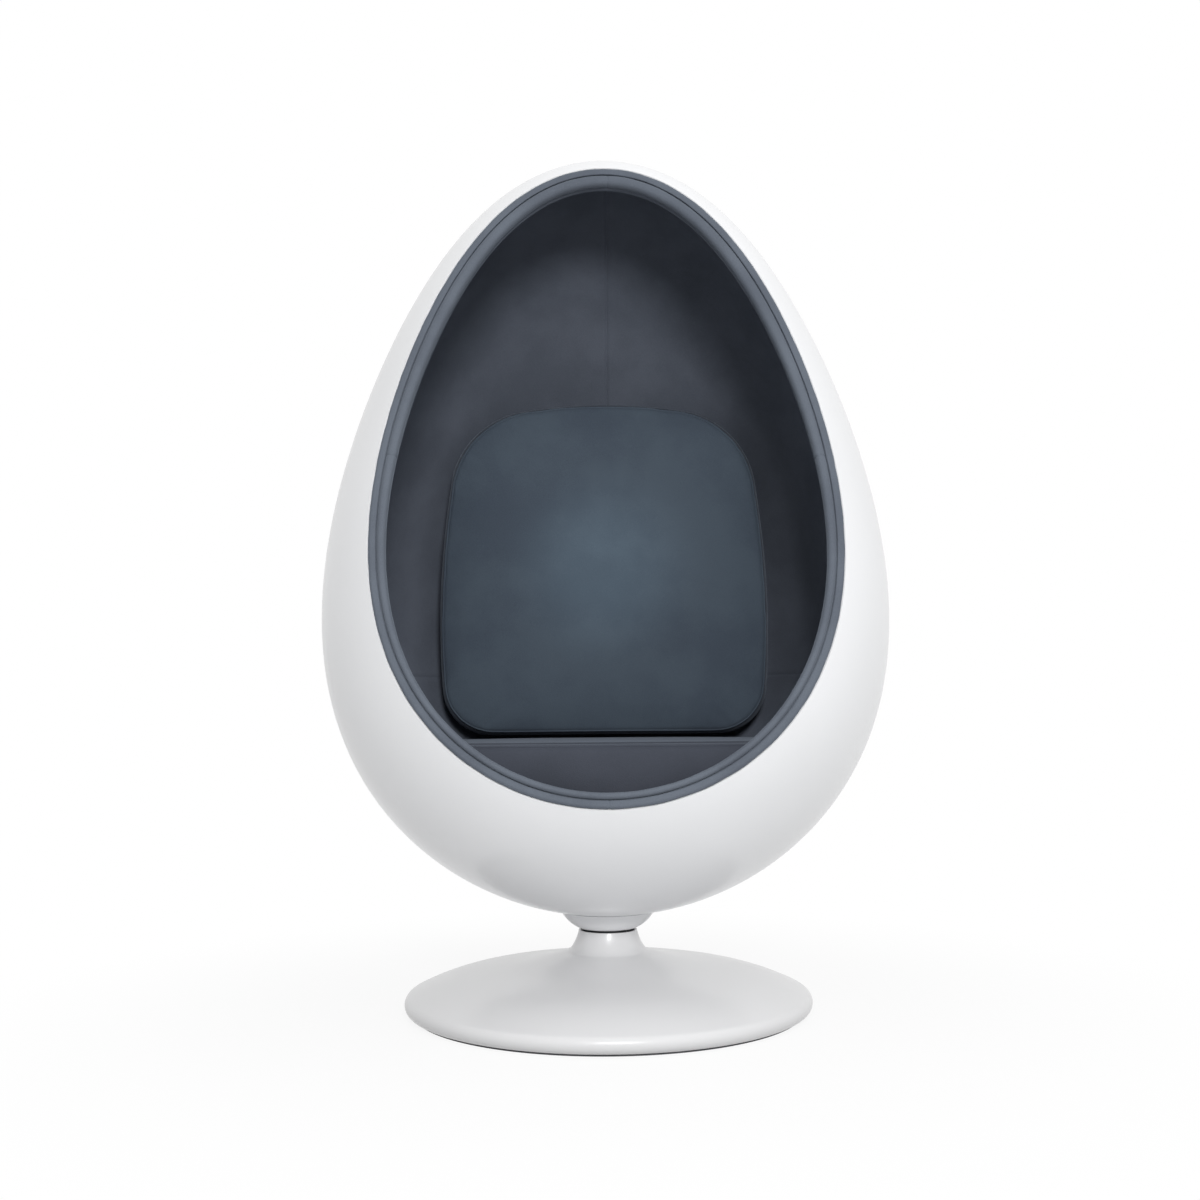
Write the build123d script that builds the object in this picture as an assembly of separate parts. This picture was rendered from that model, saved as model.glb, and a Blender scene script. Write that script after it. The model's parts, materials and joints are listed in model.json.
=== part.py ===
"""Pod chair: an egg-shaped glass-fibre shell on a round trumpet pedestal, free to swivel.

Millimetres.  Z is the swivel axis and points up, Z = 0 is the floor, and the pod opens
towards -Y.  Every sub-part is written as one STEP file.
"""
import os
from math import atan2, cos, degrees, hypot, pi, radians, sin, sqrt, tan

from build123d import *

os.makedirs("parts", exist_ok=True)

# ---------------------------------------------------------------- pod shell
SHELL_WIDTH = 880.0            # widest diameter of the egg
SHELL_HEIGHT = 1189.0          # bottom pole to top pole
SHELL_BOTTOM = 143.0           # height of the bottom pole above the floor
SHELL_WALL = 6.0
EGG_TAPER = 0.241              # how much slimmer the top is than the bottom
EGG_BULGE = 0.036              # fullness shared by both ends
EGG_SHOULDER = 0.076           # straightens the flank between waist and top
OUTLINE_SPANS = 16             # spans of the outline from pole to pole

# ---------------------------------------------------------------- opening and its trim
RIM_BOTTOM = 329.0             # height of the opening's lowest point
OPENING_LEAN = 11.65           # degrees that the opening leans back
RIM_CENTRE_RISE = 480.0        # up the opening, where the rays to its rim start
RIM_POINTS = 32                # points of the rim that its trim follows
RIM_NUDGE = 0.01               # radians to either side, for the rim's direction
BAND_WIDTH = 14.0              # flat fabric band over the shell's cut edge
BAND_DEPTH = 8.0
BAND_SETBACK = 0.5             # band lies this far inside the shell's outer face
BAND_ROUND = 3.0
ROLL_WIDTH = 14.0              # padded roll inside the band
ROLL_DEPTH = 17.0
ROLL_PROUD = 3.0               # roll stands this far in front of the band
ROLL_ROUND = 6.5
GROOVE = 1.2                   # gap between band and roll
BOLSTER_DEPTH = 12.0           # foam strip in the shell that carries the roll
BOLSTER_ROUND = 9.0
BOLSTER_SETBACK = 3.0          # the roll overhangs the strip by this much

# ---------------------------------------------------------------- lining
LINING_FOAM = 10.0
LINING_FABRIC = 2.0
LINING_SEAM_HEIGHT = 518.0     # level seam between the upper panels and the lower one
GLUE_LINE = 0.3                # between parts that are bonded or lie on each other

# ---------------------------------------------------------------- seat deck
DECK_TOP = 300.0
DECK_THICKNESS = 12.0
DECK_EDGE_CLEARANCE = 1.0
BLOCK_COUNT = 4                # timber blocks bonded into the shell under the deck
BLOCK_WIDTH = 80.0
BLOCK_HEIGHT = 40.0
BLOCK_REACH = 75.0             # how far a block stands in from the deck's edge
DECK_SCREW_INSET = 45.0        # from the deck's edge
DECK_SCREW_RADIUS = 2.5
DECK_SCREW_HEAD = 5.0
DECK_SCREW_LENGTH = 35.0

# ---------------------------------------------------------------- cushions
COVER_THICKNESS = 2.0
CORE_CLEARANCE = 0.3           # between a cover and its foam core
SEAT_HEIGHT = 414.0            # top of the seat cushion's crown
SEAT_FRONT = 282.0             # the straight front lies this far before the axis
SEAT_CORNER = 55.0
SEAT_SIDE_ANGLE = 35.0         # degrees from the side to a point on the round wall
SEAT_CLEARANCE = 5.0           # to the lining
SEAT_CROWN = 7.0               # rise from the upper seam to the crown
SEAT_CROWN_REACH = 85.0        # how far in from the edge the crown goes on rising
SEAT_CROWN_MIDDLE = (0.45, 0.8)     # shares of the reach and of the rise, halfway up
SEAT_SEAM_INSET = 5.0          # seams lie this far inside the bowed boxing
SEAT_UNDER_RISE = 8.0          # underside's rise to the lower seam
SEAT_UNDER_INSET = 22.0
BACK_WIDTH = 580.0
BACK_HEIGHT = 585.0
BACK_BOXING = 82.0             # from seam to seam
BACK_CROWN = 26.0              # rise of each face from its seam
BACK_CROWN_REACH = 110.0
BACK_CROWN_MIDDLE = (0.4, 0.55)     # shares of the reach and of the rise, halfway up
BACK_SEAM_INSET = 10.0
BACK_CLEARANCE = 6.0           # to the lining
BACK_REST_CLEARANCE = 1.0      # to the seat cushion
BACK_LOW_TOUCH = 90.0          # heights above the seat where it leans on the lining
BACK_HIGH_TOUCH = 500.0
BACK_HIGH_HALF = 0.84          # share of half the width at the upper touch
BACK_OUTLINE = [               # shares of half the width and of the height, right side
    (0.69, 0), (0.91, 0.045), (0.99, 0.145),       # lower corner
    (1, 0.41), (0.938, 0.738),                     # side
    (0.82, 0.887), (0.517, 0.979),                 # shoulder
]

# ---------------------------------------------------------------- collar and neck
COLLAR_BOTTOM = 123.0
COLLAR_BOTTOM_RADIUS = 45.0
COLLAR_TOP_RADIUS = 73.0
COLLAR_BELLY = 3.0             # how far its side bows out
COLLAR_WALL = 4.0
SWIVEL_GAP = 3.0               # dark gap between collar and neck

# ---------------------------------------------------------------- pedestal
BASE_RADIUS = 312.0
BASE_EDGE_RADIUS = 13.0        # rounding of the disc's rim
BASE_EDGE_START = 65.0         # degrees up from level where the rounding begins
PEDESTAL_WALL = 4.0
NECK_WAIST_RADIUS = 58.0       # neck where it starts to flare
NECK_WAIST_DROP = 28.5         # below the neck's top
NECK_FLARE = 0.2               # radius gained per height lost at the neck's top
FOOT_RISE = 83.0               # disc's height beside the neck
FOOT_FLARE = [                 # shares of the reach from waist to edge and of the foot's rise
    (0.09, 1.0), (0.34, 0.82), (0.74, 0.63),
]
WALL_SPANS = 14                # spans of the trumpet's inner outline
PAD_THICKNESS = 3.0
PLATE_THICKNESS = 6.0
PLATE_CLEARANCE = 1.0
LIP_WIDTH = 16.0               # inturned lip that the base plate is screwed to
BASE_SCREW_COUNT = 6
BASE_SCREW_RADIUS = 3.0
BASE_SCREW_HEAD = 5.5

# ---------------------------------------------------------------- column and spindle
COLUMN_RADIUS = 28.0
COLUMN_BORE = 20.0
COLUMN_FOOT_RADIUS = 62.0
COLUMN_FOOT_THICKNESS = 8.0
COLUMN_BOLT_CIRCLE = 46.0      # radius
COLUMN_BOLT_COUNT = 4
COLUMN_BOLT_HEAD = 9.0
BOLT_RADIUS = 5.0              # bolts at both flanges
BOLT_CLEARANCE = 0.25
BOLT_HEAD_RADIUS = 8.5         # inscribed circle of the hexagon
BOLT_HEAD_HEIGHT = 6.4
NUT_HEIGHT = 8.0
BOLT_END = 2.0                 # thread that shows beyond a nut
WASHER_RADIUS = 10.5
WASHER_THICKNESS = 2.0
SPACER_HEIGHT = 8.0            # ring that centres the neck on the column
SPACER_DROP = 8.0              # its top below the neck's top
SHOULDER_HEIGHT = 4.0
SPINDLE_TAIL = 60.0            # length held in the column's bore
JOURNAL_RADIUS = 15.0
RUNNING_CLEARANCE = 0.05       # radial, journal in its bushes
FIT_CLEARANCE = 0.02           # radial, pieces pressed or screwed together
THREAD_RADIUS = 10.0
SPINDLE_NUT_RADIUS = 15.0      # inscribed circle
SPINDLE_NUT_HEIGHT = 12.0
SPINDLE_WASHER_RADIUS = 21.0
SPINDLE_WASHER_THICKNESS = 3.0

# ---------------------------------------------------------------- hub and thrust bearing
HUB_FLANGE_RADIUS = 55.0
HUB_FLANGE_THICKNESS = 8.0
HUB_RADIUS = 26.0
HUB_LENGTH = 77.0              # flange underside to the barrel's top
HUB_BOLT_CIRCLE = 41.0         # radius
HUB_BOLT_COUNT = 4
HUB_HOLE_CLEARANCE = 1.0       # shell and plate round the barrel
BUSH_WALL = 3.0
BUSH_LENGTH = 20.0
RACE_THICKNESS = 3.0
BALL_RADIUS = 2.5
BALL_COUNT = 14
BALL_CIRCLE = 21.5             # radius
BALL_PLAY = 0.02
CAGE_THICKNESS = 2.0
CAGE_SIDE = 5.0                # cage reaches this far either side of the ball circle
CAP_WALL = 2.0
CAP_LAP = 10.0                 # the cap's skirt laps over the hub
CAP_ROOM = 4.0                 # above the spindle's end
BOSS_THICKNESS = 15.0          # thick laminate at the shell's bottom
FLANGE_RECESS = 4.0            # flat on the egg's bottom for the flange
MOUNT_PLATE_RADIUS = 84.0
MOUNT_PLATE_THICKNESS = 6.0

FAR = 4000.0                   # cutting blocks reach past everything
HALVINGS = 40                  # steps of a search that halves its range each time
BOTTOM_UP = (Align.CENTER, Align.CENTER, Align.MIN)


def halved(low, high, is_before):
    """The place between low and high where the test turns from true to false."""
    for _ in range(HALVINGS):
        middle = (low + high) / 2
        if is_before(middle):
            low = middle
        else:
            high = middle
    return middle


# ================================================================ the egg's shape
def egg_share(latitude):
    """Outline point at a latitude, as shares of half the width and half the height."""
    up = sin(radians(latitude))
    taper = 1 - EGG_TAPER * up + EGG_BULGE * up**2 + EGG_SHOULDER * up**3
    return cos(radians(latitude)) * taper, up


WIDEST_SHARE = max(egg_share(degree)[0] for degree in range(-90, 91))
SHELL_MIDDLE = SHELL_BOTTOM + SHELL_HEIGHT / 2


def egg_skin(latitude):
    """Radius and height on the egg's outer face."""
    across, up = egg_share(latitude)
    return across / WIDEST_SHARE * SHELL_WIDTH / 2, SHELL_MIDDLE + up * SHELL_HEIGHT / 2


def egg_point(latitude, inset=0.0):
    """Radius and height on the outline, moved inwards at right angles by the inset."""
    nudge = 0.01
    radius, height = egg_skin(latitude)
    before, after = egg_skin(latitude - nudge), egg_skin(latitude + nudge)
    run, rise = after[0] - before[0], after[1] - before[1]
    length = hypot(run, rise)
    return radius - inset * rise / length, height + inset * run / length


def egg_radius(height, inset=0.0):
    """Radius of the egg at a height."""
    latitude = halved(-90.0, 90.0, lambda degree: egg_point(degree, inset)[1] < height)
    return egg_point(latitude, inset)[0]


def egg_foot_height(radius):
    """Height of the egg's outer face at a radius near its bottom."""
    latitude = halved(-90.0, 0.0, lambda degree: egg_skin(degree)[0] < radius)
    return egg_skin(latitude)[1]


def egg_outline(inset):
    """Half outline in the XZ plane, from the bottom pole to the top pole."""
    points = []
    for span in range(OUTLINE_SPANS + 1):
        radius, height = egg_point(-90 + 180 * span / OUTLINE_SPANS, inset)
        points.append((max(radius, 0), 0, height))
    return Spline(*points, tangents=((1, 0, 0), (-1, 0, 0)), tangent_scalars=(1, 1))


def egg_solid(inset):
    outline = egg_outline(inset)
    return revolve(make_face([outline, Line(outline @ 1, outline @ 0)]), Axis.Z)


def egg_layer(inset, thickness):
    """A closed skin of the egg, from an inset inwards."""
    outer = egg_outline(inset)
    inner = egg_outline(inset + thickness)
    joins = [Line(outer @ 0, inner @ 0), Line(outer @ 1, inner @ 1)]
    return revolve(make_face([outer, inner, *joins]), Axis.Z)


# ================================================================ helpers
def disc(bottom, height, radius, bore=0.0):
    """Upright disc, or a ring if it has a bore, on the swivel axis."""
    solid = Pos(0, 0, bottom) * Cylinder(radius, height, align=BOTTOM_UP)
    if bore:
        solid -= Pos(0, 0, bottom) * Cylinder(bore, height, align=BOTTOM_UP)
    return solid


def turned(*corners):
    """Solid of revolution whose section has these (radius, height) corners."""
    points = [(radius, 0, height) for radius, height in corners]
    return revolve(make_face(Polyline(*points, close=True)), Axis.Z)


def circle_places(count, radius):
    """Evenly spaced places about the swivel axis, none of them in the middle plane."""
    return [Rot(0, 0, 180 * (2 * place + 1) / count) * Pos(radius, 0, 0) for place in range(count)]


def copies(piece, places):
    """The same solid at each place, kept as separate solids."""
    return Compound(children=[place * piece for place in places])


def above(height):
    return Pos(0, 0, height) * Box(FAR, FAR, FAR, align=BOTTOM_UP)


def below(height):
    return Pos(0, 0, height - FAR) * Box(FAR, FAR, FAR, align=BOTTOM_UP)


def beside(side):
    """The half of space to the left of the middle plane (-1) or to the right (+1)."""
    return Pos(side * FAR / 2, 0, 0) * Box(FAR, FAR, FAR)


# ================================================================ the opening's plane and rim
OPENING_NORMAL = Vector(0, -cos(radians(OPENING_LEAN)), sin(radians(OPENING_LEAN)))
OPENING_UP = Vector(0, sin(radians(OPENING_LEAN)), cos(radians(OPENING_LEAN)))
OPENING_FOOT = Vector(0, -egg_radius(RIM_BOTTOM), RIM_BOTTOM)
RIM_CENTRE = OPENING_FOOT + OPENING_UP * RIM_CENTRE_RISE


def opening_plane(offset):
    """Plane along the opening, moved towards the sitter by the offset."""
    return Plane(OPENING_FOOT + OPENING_NORMAL * offset, x_dir=(1, 0, 0), z_dir=OPENING_NORMAL)


def opening_slab(back, front):
    return opening_plane(back) * Box(FAR, FAR, front - back, align=BOTTOM_UP)


def loops_at(solid, offset):
    """Edges of a trim ring that lie in the plane at an offset from the opening."""
    plane = opening_plane(offset)
    return [edge for edge in solid.edges() if abs(plane.to_local_coords(edge @ 0.5).Z) < 0.01]


def rim_point(turn):
    """Point of the rim at an angle, seen from a centre within the opening."""
    ray = Vector(1, 0, 0) * cos(turn) + OPENING_UP * sin(turn)

    def is_inside(reach):
        point = RIM_CENTRE + ray * reach
        return hypot(point.X, point.Y) < egg_radius(point.Z)

    return RIM_CENTRE + ray * halved(0.0, SHELL_HEIGHT, is_inside)


def rim_places():
    """Points round the rim, each with the direction that leads inwards from it."""
    places = []
    for place in range(RIM_POINTS):
        turn = 2 * pi * place / RIM_POINTS
        along = rim_point(turn + RIM_NUDGE) - rim_point(turn - RIM_NUDGE)
        places.append((rim_point(turn), OPENING_NORMAL.cross(along).normalized()))
    return places


RIM_PLACES = rim_places()


def rim_column(margin, back, front):
    """Column through the opening whose side lies inside the rim by a margin."""
    points = [point + inward * margin + OPENING_NORMAL * back for point, inward in RIM_PLACES]
    outline = Face(Wire([Spline(*points, periodic=True)]))
    return extrude(outline, front - back, dir=OPENING_NORMAL)


# ================================================================ fasteners
def hexagon(radius, bottom, height):
    """Hexagonal prism; the radius is that of its inscribed circle."""
    return Pos(0, 0, bottom) * extrude(RegularPolygon(radius / cos(radians(30)), 6), height)


def countersunk(radius, head_radius, length):
    """Screw pointing up from Z = 0, where its flat head lies."""
    head = head_radius - radius
    return turned((0, 0), (head_radius, 0), (radius, head), (radius, length), (0, length))


# ================================================================ heights and radii that follow
PLATE_BOTTOM = PAD_THICKNESS
PLATE_TOP = PLATE_BOTTOM + PLATE_THICKNESS
LIP_TOP = PLATE_TOP + PEDESTAL_WALL
EDGE_MIDDLE = BASE_RADIUS - BASE_EDGE_RADIUS
EDGE_HEIGHT = PAD_THICKNESS + BASE_EDGE_RADIUS
COLUMN_FOOT_TOP = PLATE_TOP + COLUMN_FOOT_THICKNESS
NECK_TOP = COLLAR_BOTTOM - SWIVEL_GAP
FLANGE_TOP = SHELL_BOTTOM + FLANGE_RECESS
FLANGE_BOTTOM = FLANGE_TOP - HUB_FLANGE_THICKNESS
HUB_TOP = FLANGE_BOTTOM + HUB_LENGTH
UPPER_RACE_BOTTOM = FLANGE_BOTTOM - RACE_THICKNESS
BALL_HEIGHT = UPPER_RACE_BOTTOM - BALL_RADIUS
LOWER_RACE_TOP = BALL_HEIGHT - BALL_RADIUS
SHOULDER_TOP = LOWER_RACE_TOP - RACE_THICKNESS
COLUMN_TOP = SHOULDER_TOP - SHOULDER_HEIGHT
BOSS_TOP = SHELL_BOTTOM + BOSS_THICKNESS
MOUNT_PLATE_TOP = BOSS_TOP + MOUNT_PLATE_THICKNESS
BUSH_BORE = JOURNAL_RADIUS + RUNNING_CLEARANCE
BUSH_RADIUS = BUSH_BORE + BUSH_WALL
HUB_BORE = BUSH_RADIUS + FIT_CLEARANCE
HUB_HOLE = HUB_RADIUS + HUB_HOLE_CLEARANCE
JOURNAL_TOP = HUB_TOP + GLUE_LINE
SPINDLE_NUT_BOTTOM = JOURNAL_TOP + SPINDLE_WASHER_THICKNESS
SPINDLE_TOP = SPINDLE_NUT_BOTTOM + SPINDLE_NUT_HEIGHT + BOLT_END
DECK_BOTTOM = DECK_TOP - DECK_THICKNESS
DECK_RADIUS = egg_radius(DECK_BOTTOM, SHELL_WALL) - DECK_EDGE_CLEARANCE
LINING_INSET = SHELL_WALL + GLUE_LINE
FABRIC_INSET = LINING_INSET + LINING_FOAM + GLUE_LINE
LINED_INSET = FABRIC_INSET + LINING_FABRIC
ROLL_MARGIN = BAND_WIDTH + GROOVE
ROLL_BACK = ROLL_PROUD - ROLL_DEPTH
BOLSTER_FRONT = ROLL_BACK - GLUE_LINE
BOLSTER_BACK = BOLSTER_FRONT - BOLSTER_DEPTH

BASE_SCREW_PLACES = circle_places(BASE_SCREW_COUNT, EDGE_MIDDLE - LIP_WIDTH / 2)
COLUMN_BOLT_PLACES = circle_places(COLUMN_BOLT_COUNT, COLUMN_BOLT_CIRCLE)
HUB_BOLT_PLACES = circle_places(HUB_BOLT_COUNT, HUB_BOLT_CIRCLE)
BLOCK_PLACES = circle_places(BLOCK_COUNT, DECK_RADIUS)
DECK_SCREW_PLACES = circle_places(BLOCK_COUNT, DECK_RADIUS - DECK_SCREW_INSET)


# ================================================================ pedestal
def pedestal_outline():
    """Outer curve of the trumpet, from the neck's top to its rounded edge."""
    start = radians(BASE_EDGE_START)
    edge_start = (
        EDGE_MIDDLE + BASE_EDGE_RADIUS * cos(start), 0,
        EDGE_HEIGHT + BASE_EDGE_RADIUS * sin(start),
    )
    reach = EDGE_MIDDLE - NECK_WAIST_RADIUS
    return Spline(
        (COLLAR_BOTTOM_RADIUS, 0, NECK_TOP),
        (NECK_WAIST_RADIUS, 0, NECK_TOP - NECK_WAIST_DROP),
        *[(NECK_WAIST_RADIUS + out * reach, 0, up * FOOT_RISE) for out, up in FOOT_FLARE],
        edge_start,
        tangents=((NECK_FLARE, 0, -1), (sin(start), 0, -cos(start))),
        tangent_scalars=(1, 1),
    )


def inside_of(curve, wall):
    """Curve that keeps a wall's distance under a falling outline in the XZ plane."""
    points = []
    for span in range(WALL_SPANS + 1):
        along = curve % (span / WALL_SPANS)
        points.append(curve @ (span / WALL_SPANS) + Vector(along.Z, 0, -along.X) * wall)
    return Spline(*points)


def pedestal_shell():
    outer = pedestal_outline()
    inner = inside_of(outer, PEDESTAL_WALL)
    nose_end = (EDGE_MIDDLE, 0, PAD_THICKNESS)
    nose = ThreePointArc(outer @ 1, (BASE_RADIUS, 0, EDGE_HEIGHT), nose_end)
    lip = Polyline(
        nose_end,
        (EDGE_MIDDLE, 0, PLATE_TOP),
        (EDGE_MIDDLE - LIP_WIDTH, 0, PLATE_TOP),
        (EDGE_MIDDLE - LIP_WIDTH, 0, LIP_TOP),
        (EDGE_MIDDLE, 0, LIP_TOP),
        inner @ 1,
    )
    shell = revolve(make_face([outer, nose, lip, inner, Line(inner @ 0, outer @ 0)]), Axis.Z)
    hole = disc(PLATE_TOP, PEDESTAL_WALL, BASE_SCREW_RADIUS + FIT_CLEARANCE)
    return shell - [place * hole for place in BASE_SCREW_PLACES]


def base_plate():
    plate = disc(PLATE_BOTTOM, PLATE_THICKNESS, EDGE_MIDDLE - PLATE_CLEARANCE)
    screw = countersunk(
        BASE_SCREW_RADIUS + FIT_CLEARANCE, BASE_SCREW_HEAD + FIT_CLEARANCE, PLATE_THICKNESS
    )
    bolt = countersunk(BOLT_RADIUS + FIT_CLEARANCE, COLUMN_BOLT_HEAD + FIT_CLEARANCE, PLATE_THICKNESS)
    plate -= [Pos(0, 0, PLATE_BOTTOM) * place * screw for place in BASE_SCREW_PLACES]
    return plate - [Pos(0, 0, PLATE_BOTTOM) * place * bolt for place in COLUMN_BOLT_PLACES]


def base_screws():
    screw = countersunk(BASE_SCREW_RADIUS, BASE_SCREW_HEAD, LIP_TOP - PLATE_BOTTOM)
    return copies(Pos(0, 0, PLATE_BOTTOM) * screw, BASE_SCREW_PLACES)


def column():
    """Steel tube with the flange that stands on the base plate."""
    tube = turned(
        (COLUMN_BORE, PLATE_TOP), (COLUMN_FOOT_RADIUS, PLATE_TOP),
        (COLUMN_FOOT_RADIUS, COLUMN_FOOT_TOP), (COLUMN_RADIUS, COLUMN_FOOT_TOP),
        (COLUMN_RADIUS, COLUMN_TOP), (COLUMN_BORE, COLUMN_TOP),
    )
    hole = disc(PLATE_TOP, COLUMN_FOOT_THICKNESS, BOLT_RADIUS + BOLT_CLEARANCE)
    return tube - [place * hole for place in COLUMN_BOLT_PLACES]


def column_bolts():
    length = COLUMN_FOOT_TOP + NUT_HEIGHT + BOLT_END - PLATE_BOTTOM
    bolt = countersunk(BOLT_RADIUS, COLUMN_BOLT_HEAD, length)
    return copies(Pos(0, 0, PLATE_BOTTOM) * bolt, COLUMN_BOLT_PLACES)


def column_nuts():
    nut = hexagon(BOLT_HEAD_RADIUS, COLUMN_FOOT_TOP, NUT_HEIGHT)
    nut -= disc(COLUMN_FOOT_TOP, NUT_HEIGHT, BOLT_RADIUS + FIT_CLEARANCE)
    return copies(nut, COLUMN_BOLT_PLACES)


def radius_at(curve, height):
    """Radius where a falling outline passes a height."""
    return (curve @ halved(0.0, 1.0, lambda share: (curve @ share).Z > height)).X


def neck_spacer():
    """Ring that fills the neck round the column, sloped like the neck."""
    wall = inside_of(pedestal_outline(), PEDESTAL_WALL + GLUE_LINE)
    bore = COLUMN_RADIUS + FIT_CLEARANCE
    top = NECK_TOP - SPACER_DROP
    bottom = top - SPACER_HEIGHT
    return turned(
        (bore, bottom), (radius_at(wall, bottom), bottom), (radius_at(wall, top), top), (bore, top)
    )


def spindle():
    """Turned bar: tail in the column, shoulder, journal and threaded end."""
    tail = COLUMN_BORE - FIT_CLEARANCE
    return turned(
        (0, COLUMN_TOP - SPINDLE_TAIL), (tail, COLUMN_TOP - SPINDLE_TAIL), (tail, COLUMN_TOP),
        (COLUMN_RADIUS, COLUMN_TOP), (COLUMN_RADIUS, SHOULDER_TOP),
        (JOURNAL_RADIUS, SHOULDER_TOP), (JOURNAL_RADIUS, JOURNAL_TOP),
        (THREAD_RADIUS, JOURNAL_TOP), (THREAD_RADIUS, SPINDLE_TOP), (0, SPINDLE_TOP),
    )


# ================================================================ swivel bearing
def thrust_cage():
    ring = disc(
        BALL_HEIGHT - CAGE_THICKNESS / 2, CAGE_THICKNESS, BALL_CIRCLE + CAGE_SIDE, BALL_CIRCLE - CAGE_SIDE
    )
    pocket = Pos(0, 0, BALL_HEIGHT) * Cylinder(BALL_RADIUS + BALL_PLAY, CAGE_THICKNESS)
    return ring - [place * pocket for place in circle_places(BALL_COUNT, BALL_CIRCLE)]


def thrust_balls():
    ball = Pos(0, 0, BALL_HEIGHT) * Sphere(BALL_RADIUS - BALL_PLAY)
    return copies(ball, circle_places(BALL_COUNT, BALL_CIRCLE))


def spindle_nut():
    nut = hexagon(SPINDLE_NUT_RADIUS, SPINDLE_NUT_BOTTOM, SPINDLE_NUT_HEIGHT)
    return nut - disc(SPINDLE_NUT_BOTTOM, SPINDLE_NUT_HEIGHT, THREAD_RADIUS + FIT_CLEARANCE)


def bearing_hub():
    """Flange under the shell and a barrel that rises through it, bored for two bushes."""
    hub = turned(
        (HUB_BORE, FLANGE_BOTTOM), (HUB_FLANGE_RADIUS, FLANGE_BOTTOM),
        (HUB_FLANGE_RADIUS, FLANGE_TOP), (HUB_RADIUS, FLANGE_TOP),
        (HUB_RADIUS, HUB_TOP), (HUB_BORE, HUB_TOP),
    )
    hole = disc(FLANGE_BOTTOM, HUB_FLANGE_THICKNESS, BOLT_RADIUS + FIT_CLEARANCE)
    return hub - [place * hole for place in HUB_BOLT_PLACES]


def hub_cap():
    """Plastic cap over the spindle's nut."""
    inner = HUB_RADIUS + FIT_CLEARANCE
    outer = inner + CAP_WALL
    roof = SPINDLE_TOP + CAP_ROOM
    skirt = HUB_TOP - CAP_LAP
    return turned(
        (inner, skirt), (outer, skirt), (outer, roof + CAP_WALL),
        (0, roof + CAP_WALL), (0, roof), (inner, roof),
    )


def hub_bolts():
    under_head = MOUNT_PLATE_TOP + WASHER_THICKNESS
    bolt = disc(FLANGE_BOTTOM, under_head - FLANGE_BOTTOM, BOLT_RADIUS)
    return copies(bolt + hexagon(BOLT_HEAD_RADIUS, under_head, BOLT_HEAD_HEIGHT), HUB_BOLT_PLACES)


def hub_washers():
    washer = disc(MOUNT_PLATE_TOP, WASHER_THICKNESS, WASHER_RADIUS, BOLT_RADIUS + BOLT_CLEARANCE)
    return copies(washer, HUB_BOLT_PLACES)


def mounting_plate():
    plate = disc(BOSS_TOP, MOUNT_PLATE_THICKNESS, MOUNT_PLATE_RADIUS, HUB_HOLE)
    hole = disc(BOSS_TOP, MOUNT_PLATE_THICKNESS, BOLT_RADIUS + BOLT_CLEARANCE)
    return plate - [place * hole for place in HUB_BOLT_PLACES]


def collar():
    """Flared skirt under the egg, its upper edge cut to the egg's curve."""
    top = egg_foot_height(COLLAR_TOP_RADIUS)
    flare = COLLAR_TOP_RADIUS - COLLAR_BOTTOM_RADIUS
    rise = top - COLLAR_BOTTOM
    slant = hypot(flare, rise)
    side = ThreePointArc(
        (COLLAR_BOTTOM_RADIUS, 0, COLLAR_BOTTOM),
        (
            COLLAR_BOTTOM_RADIUS + flare / 2 + COLLAR_BELLY * rise / slant, 0,
            COLLAR_BOTTOM + rise / 2 - COLLAR_BELLY * flare / slant,
        ),
        (COLLAR_TOP_RADIUS, 0, top),
    )
    inner = [side @ step + Vector(-rise, 0, flare) * (COLLAR_WALL / slant) for step in (1, 0.5)]
    inner_foot = Vector(COLLAR_BOTTOM_RADIUS - COLLAR_WALL, 0, COLLAR_BOTTOM)
    inner_side = ThreePointArc(inner[0], inner[1], inner_foot)
    section = make_face([side, Line(side @ 1, inner[0]), inner_side, Line(inner_foot, side @ 0)])
    return revolve(section, Axis.Z) - egg_solid(-GLUE_LINE)


# ================================================================ pod
def pod_shell():
    """The egg with its opening cut away, its bottom thickened and drilled for the hub."""
    shell = egg_layer(0, SHELL_WALL) + (egg_solid(SHELL_WALL / 2) & below(BOSS_TOP))
    shell -= below(FLANGE_TOP)
    shell -= opening_slab(-BAND_DEPTH - GLUE_LINE, FAR)
    shell -= disc(FLANGE_TOP, BOSS_THICKNESS, HUB_HOLE)
    hole = disc(FLANGE_TOP, BOSS_THICKNESS, BOLT_RADIUS + BOLT_CLEARANCE)
    return shell - [place * hole for place in HUB_BOLT_PLACES]


def edge_band():
    """Flat ring over the shell's cut edge; its outer side follows the egg."""
    band = egg_solid(BAND_SETBACK) & opening_slab(-BAND_DEPTH, 0)
    band -= rim_column(BAND_WIDTH, -2 * BAND_DEPTH, BAND_DEPTH)
    return fillet(loops_at(band, 0), BAND_ROUND)


def rim_roll():
    roll = rim_column(ROLL_MARGIN, ROLL_BACK, ROLL_PROUD)
    roll -= rim_column(ROLL_MARGIN + ROLL_WIDTH, ROLL_BACK, ROLL_PROUD)
    return fillet(loops_at(roll, ROLL_BACK) + loops_at(roll, ROLL_PROUD), ROLL_ROUND)


def rim_bolster():
    """Foam strip bonded inside the shell's edge, rounded where the lining meets it."""
    bolster = egg_solid(LINING_INSET) & opening_slab(BOLSTER_BACK, BOLSTER_FRONT)
    bolster -= rim_column(ROLL_MARGIN + ROLL_WIDTH - BOLSTER_SETBACK, 2 * BOLSTER_BACK, 0)
    inner_loop = min(loops_at(bolster, BOLSTER_BACK), key=lambda edge: edge.length)
    return fillet(inner_loop, BOLSTER_ROUND)


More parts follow.
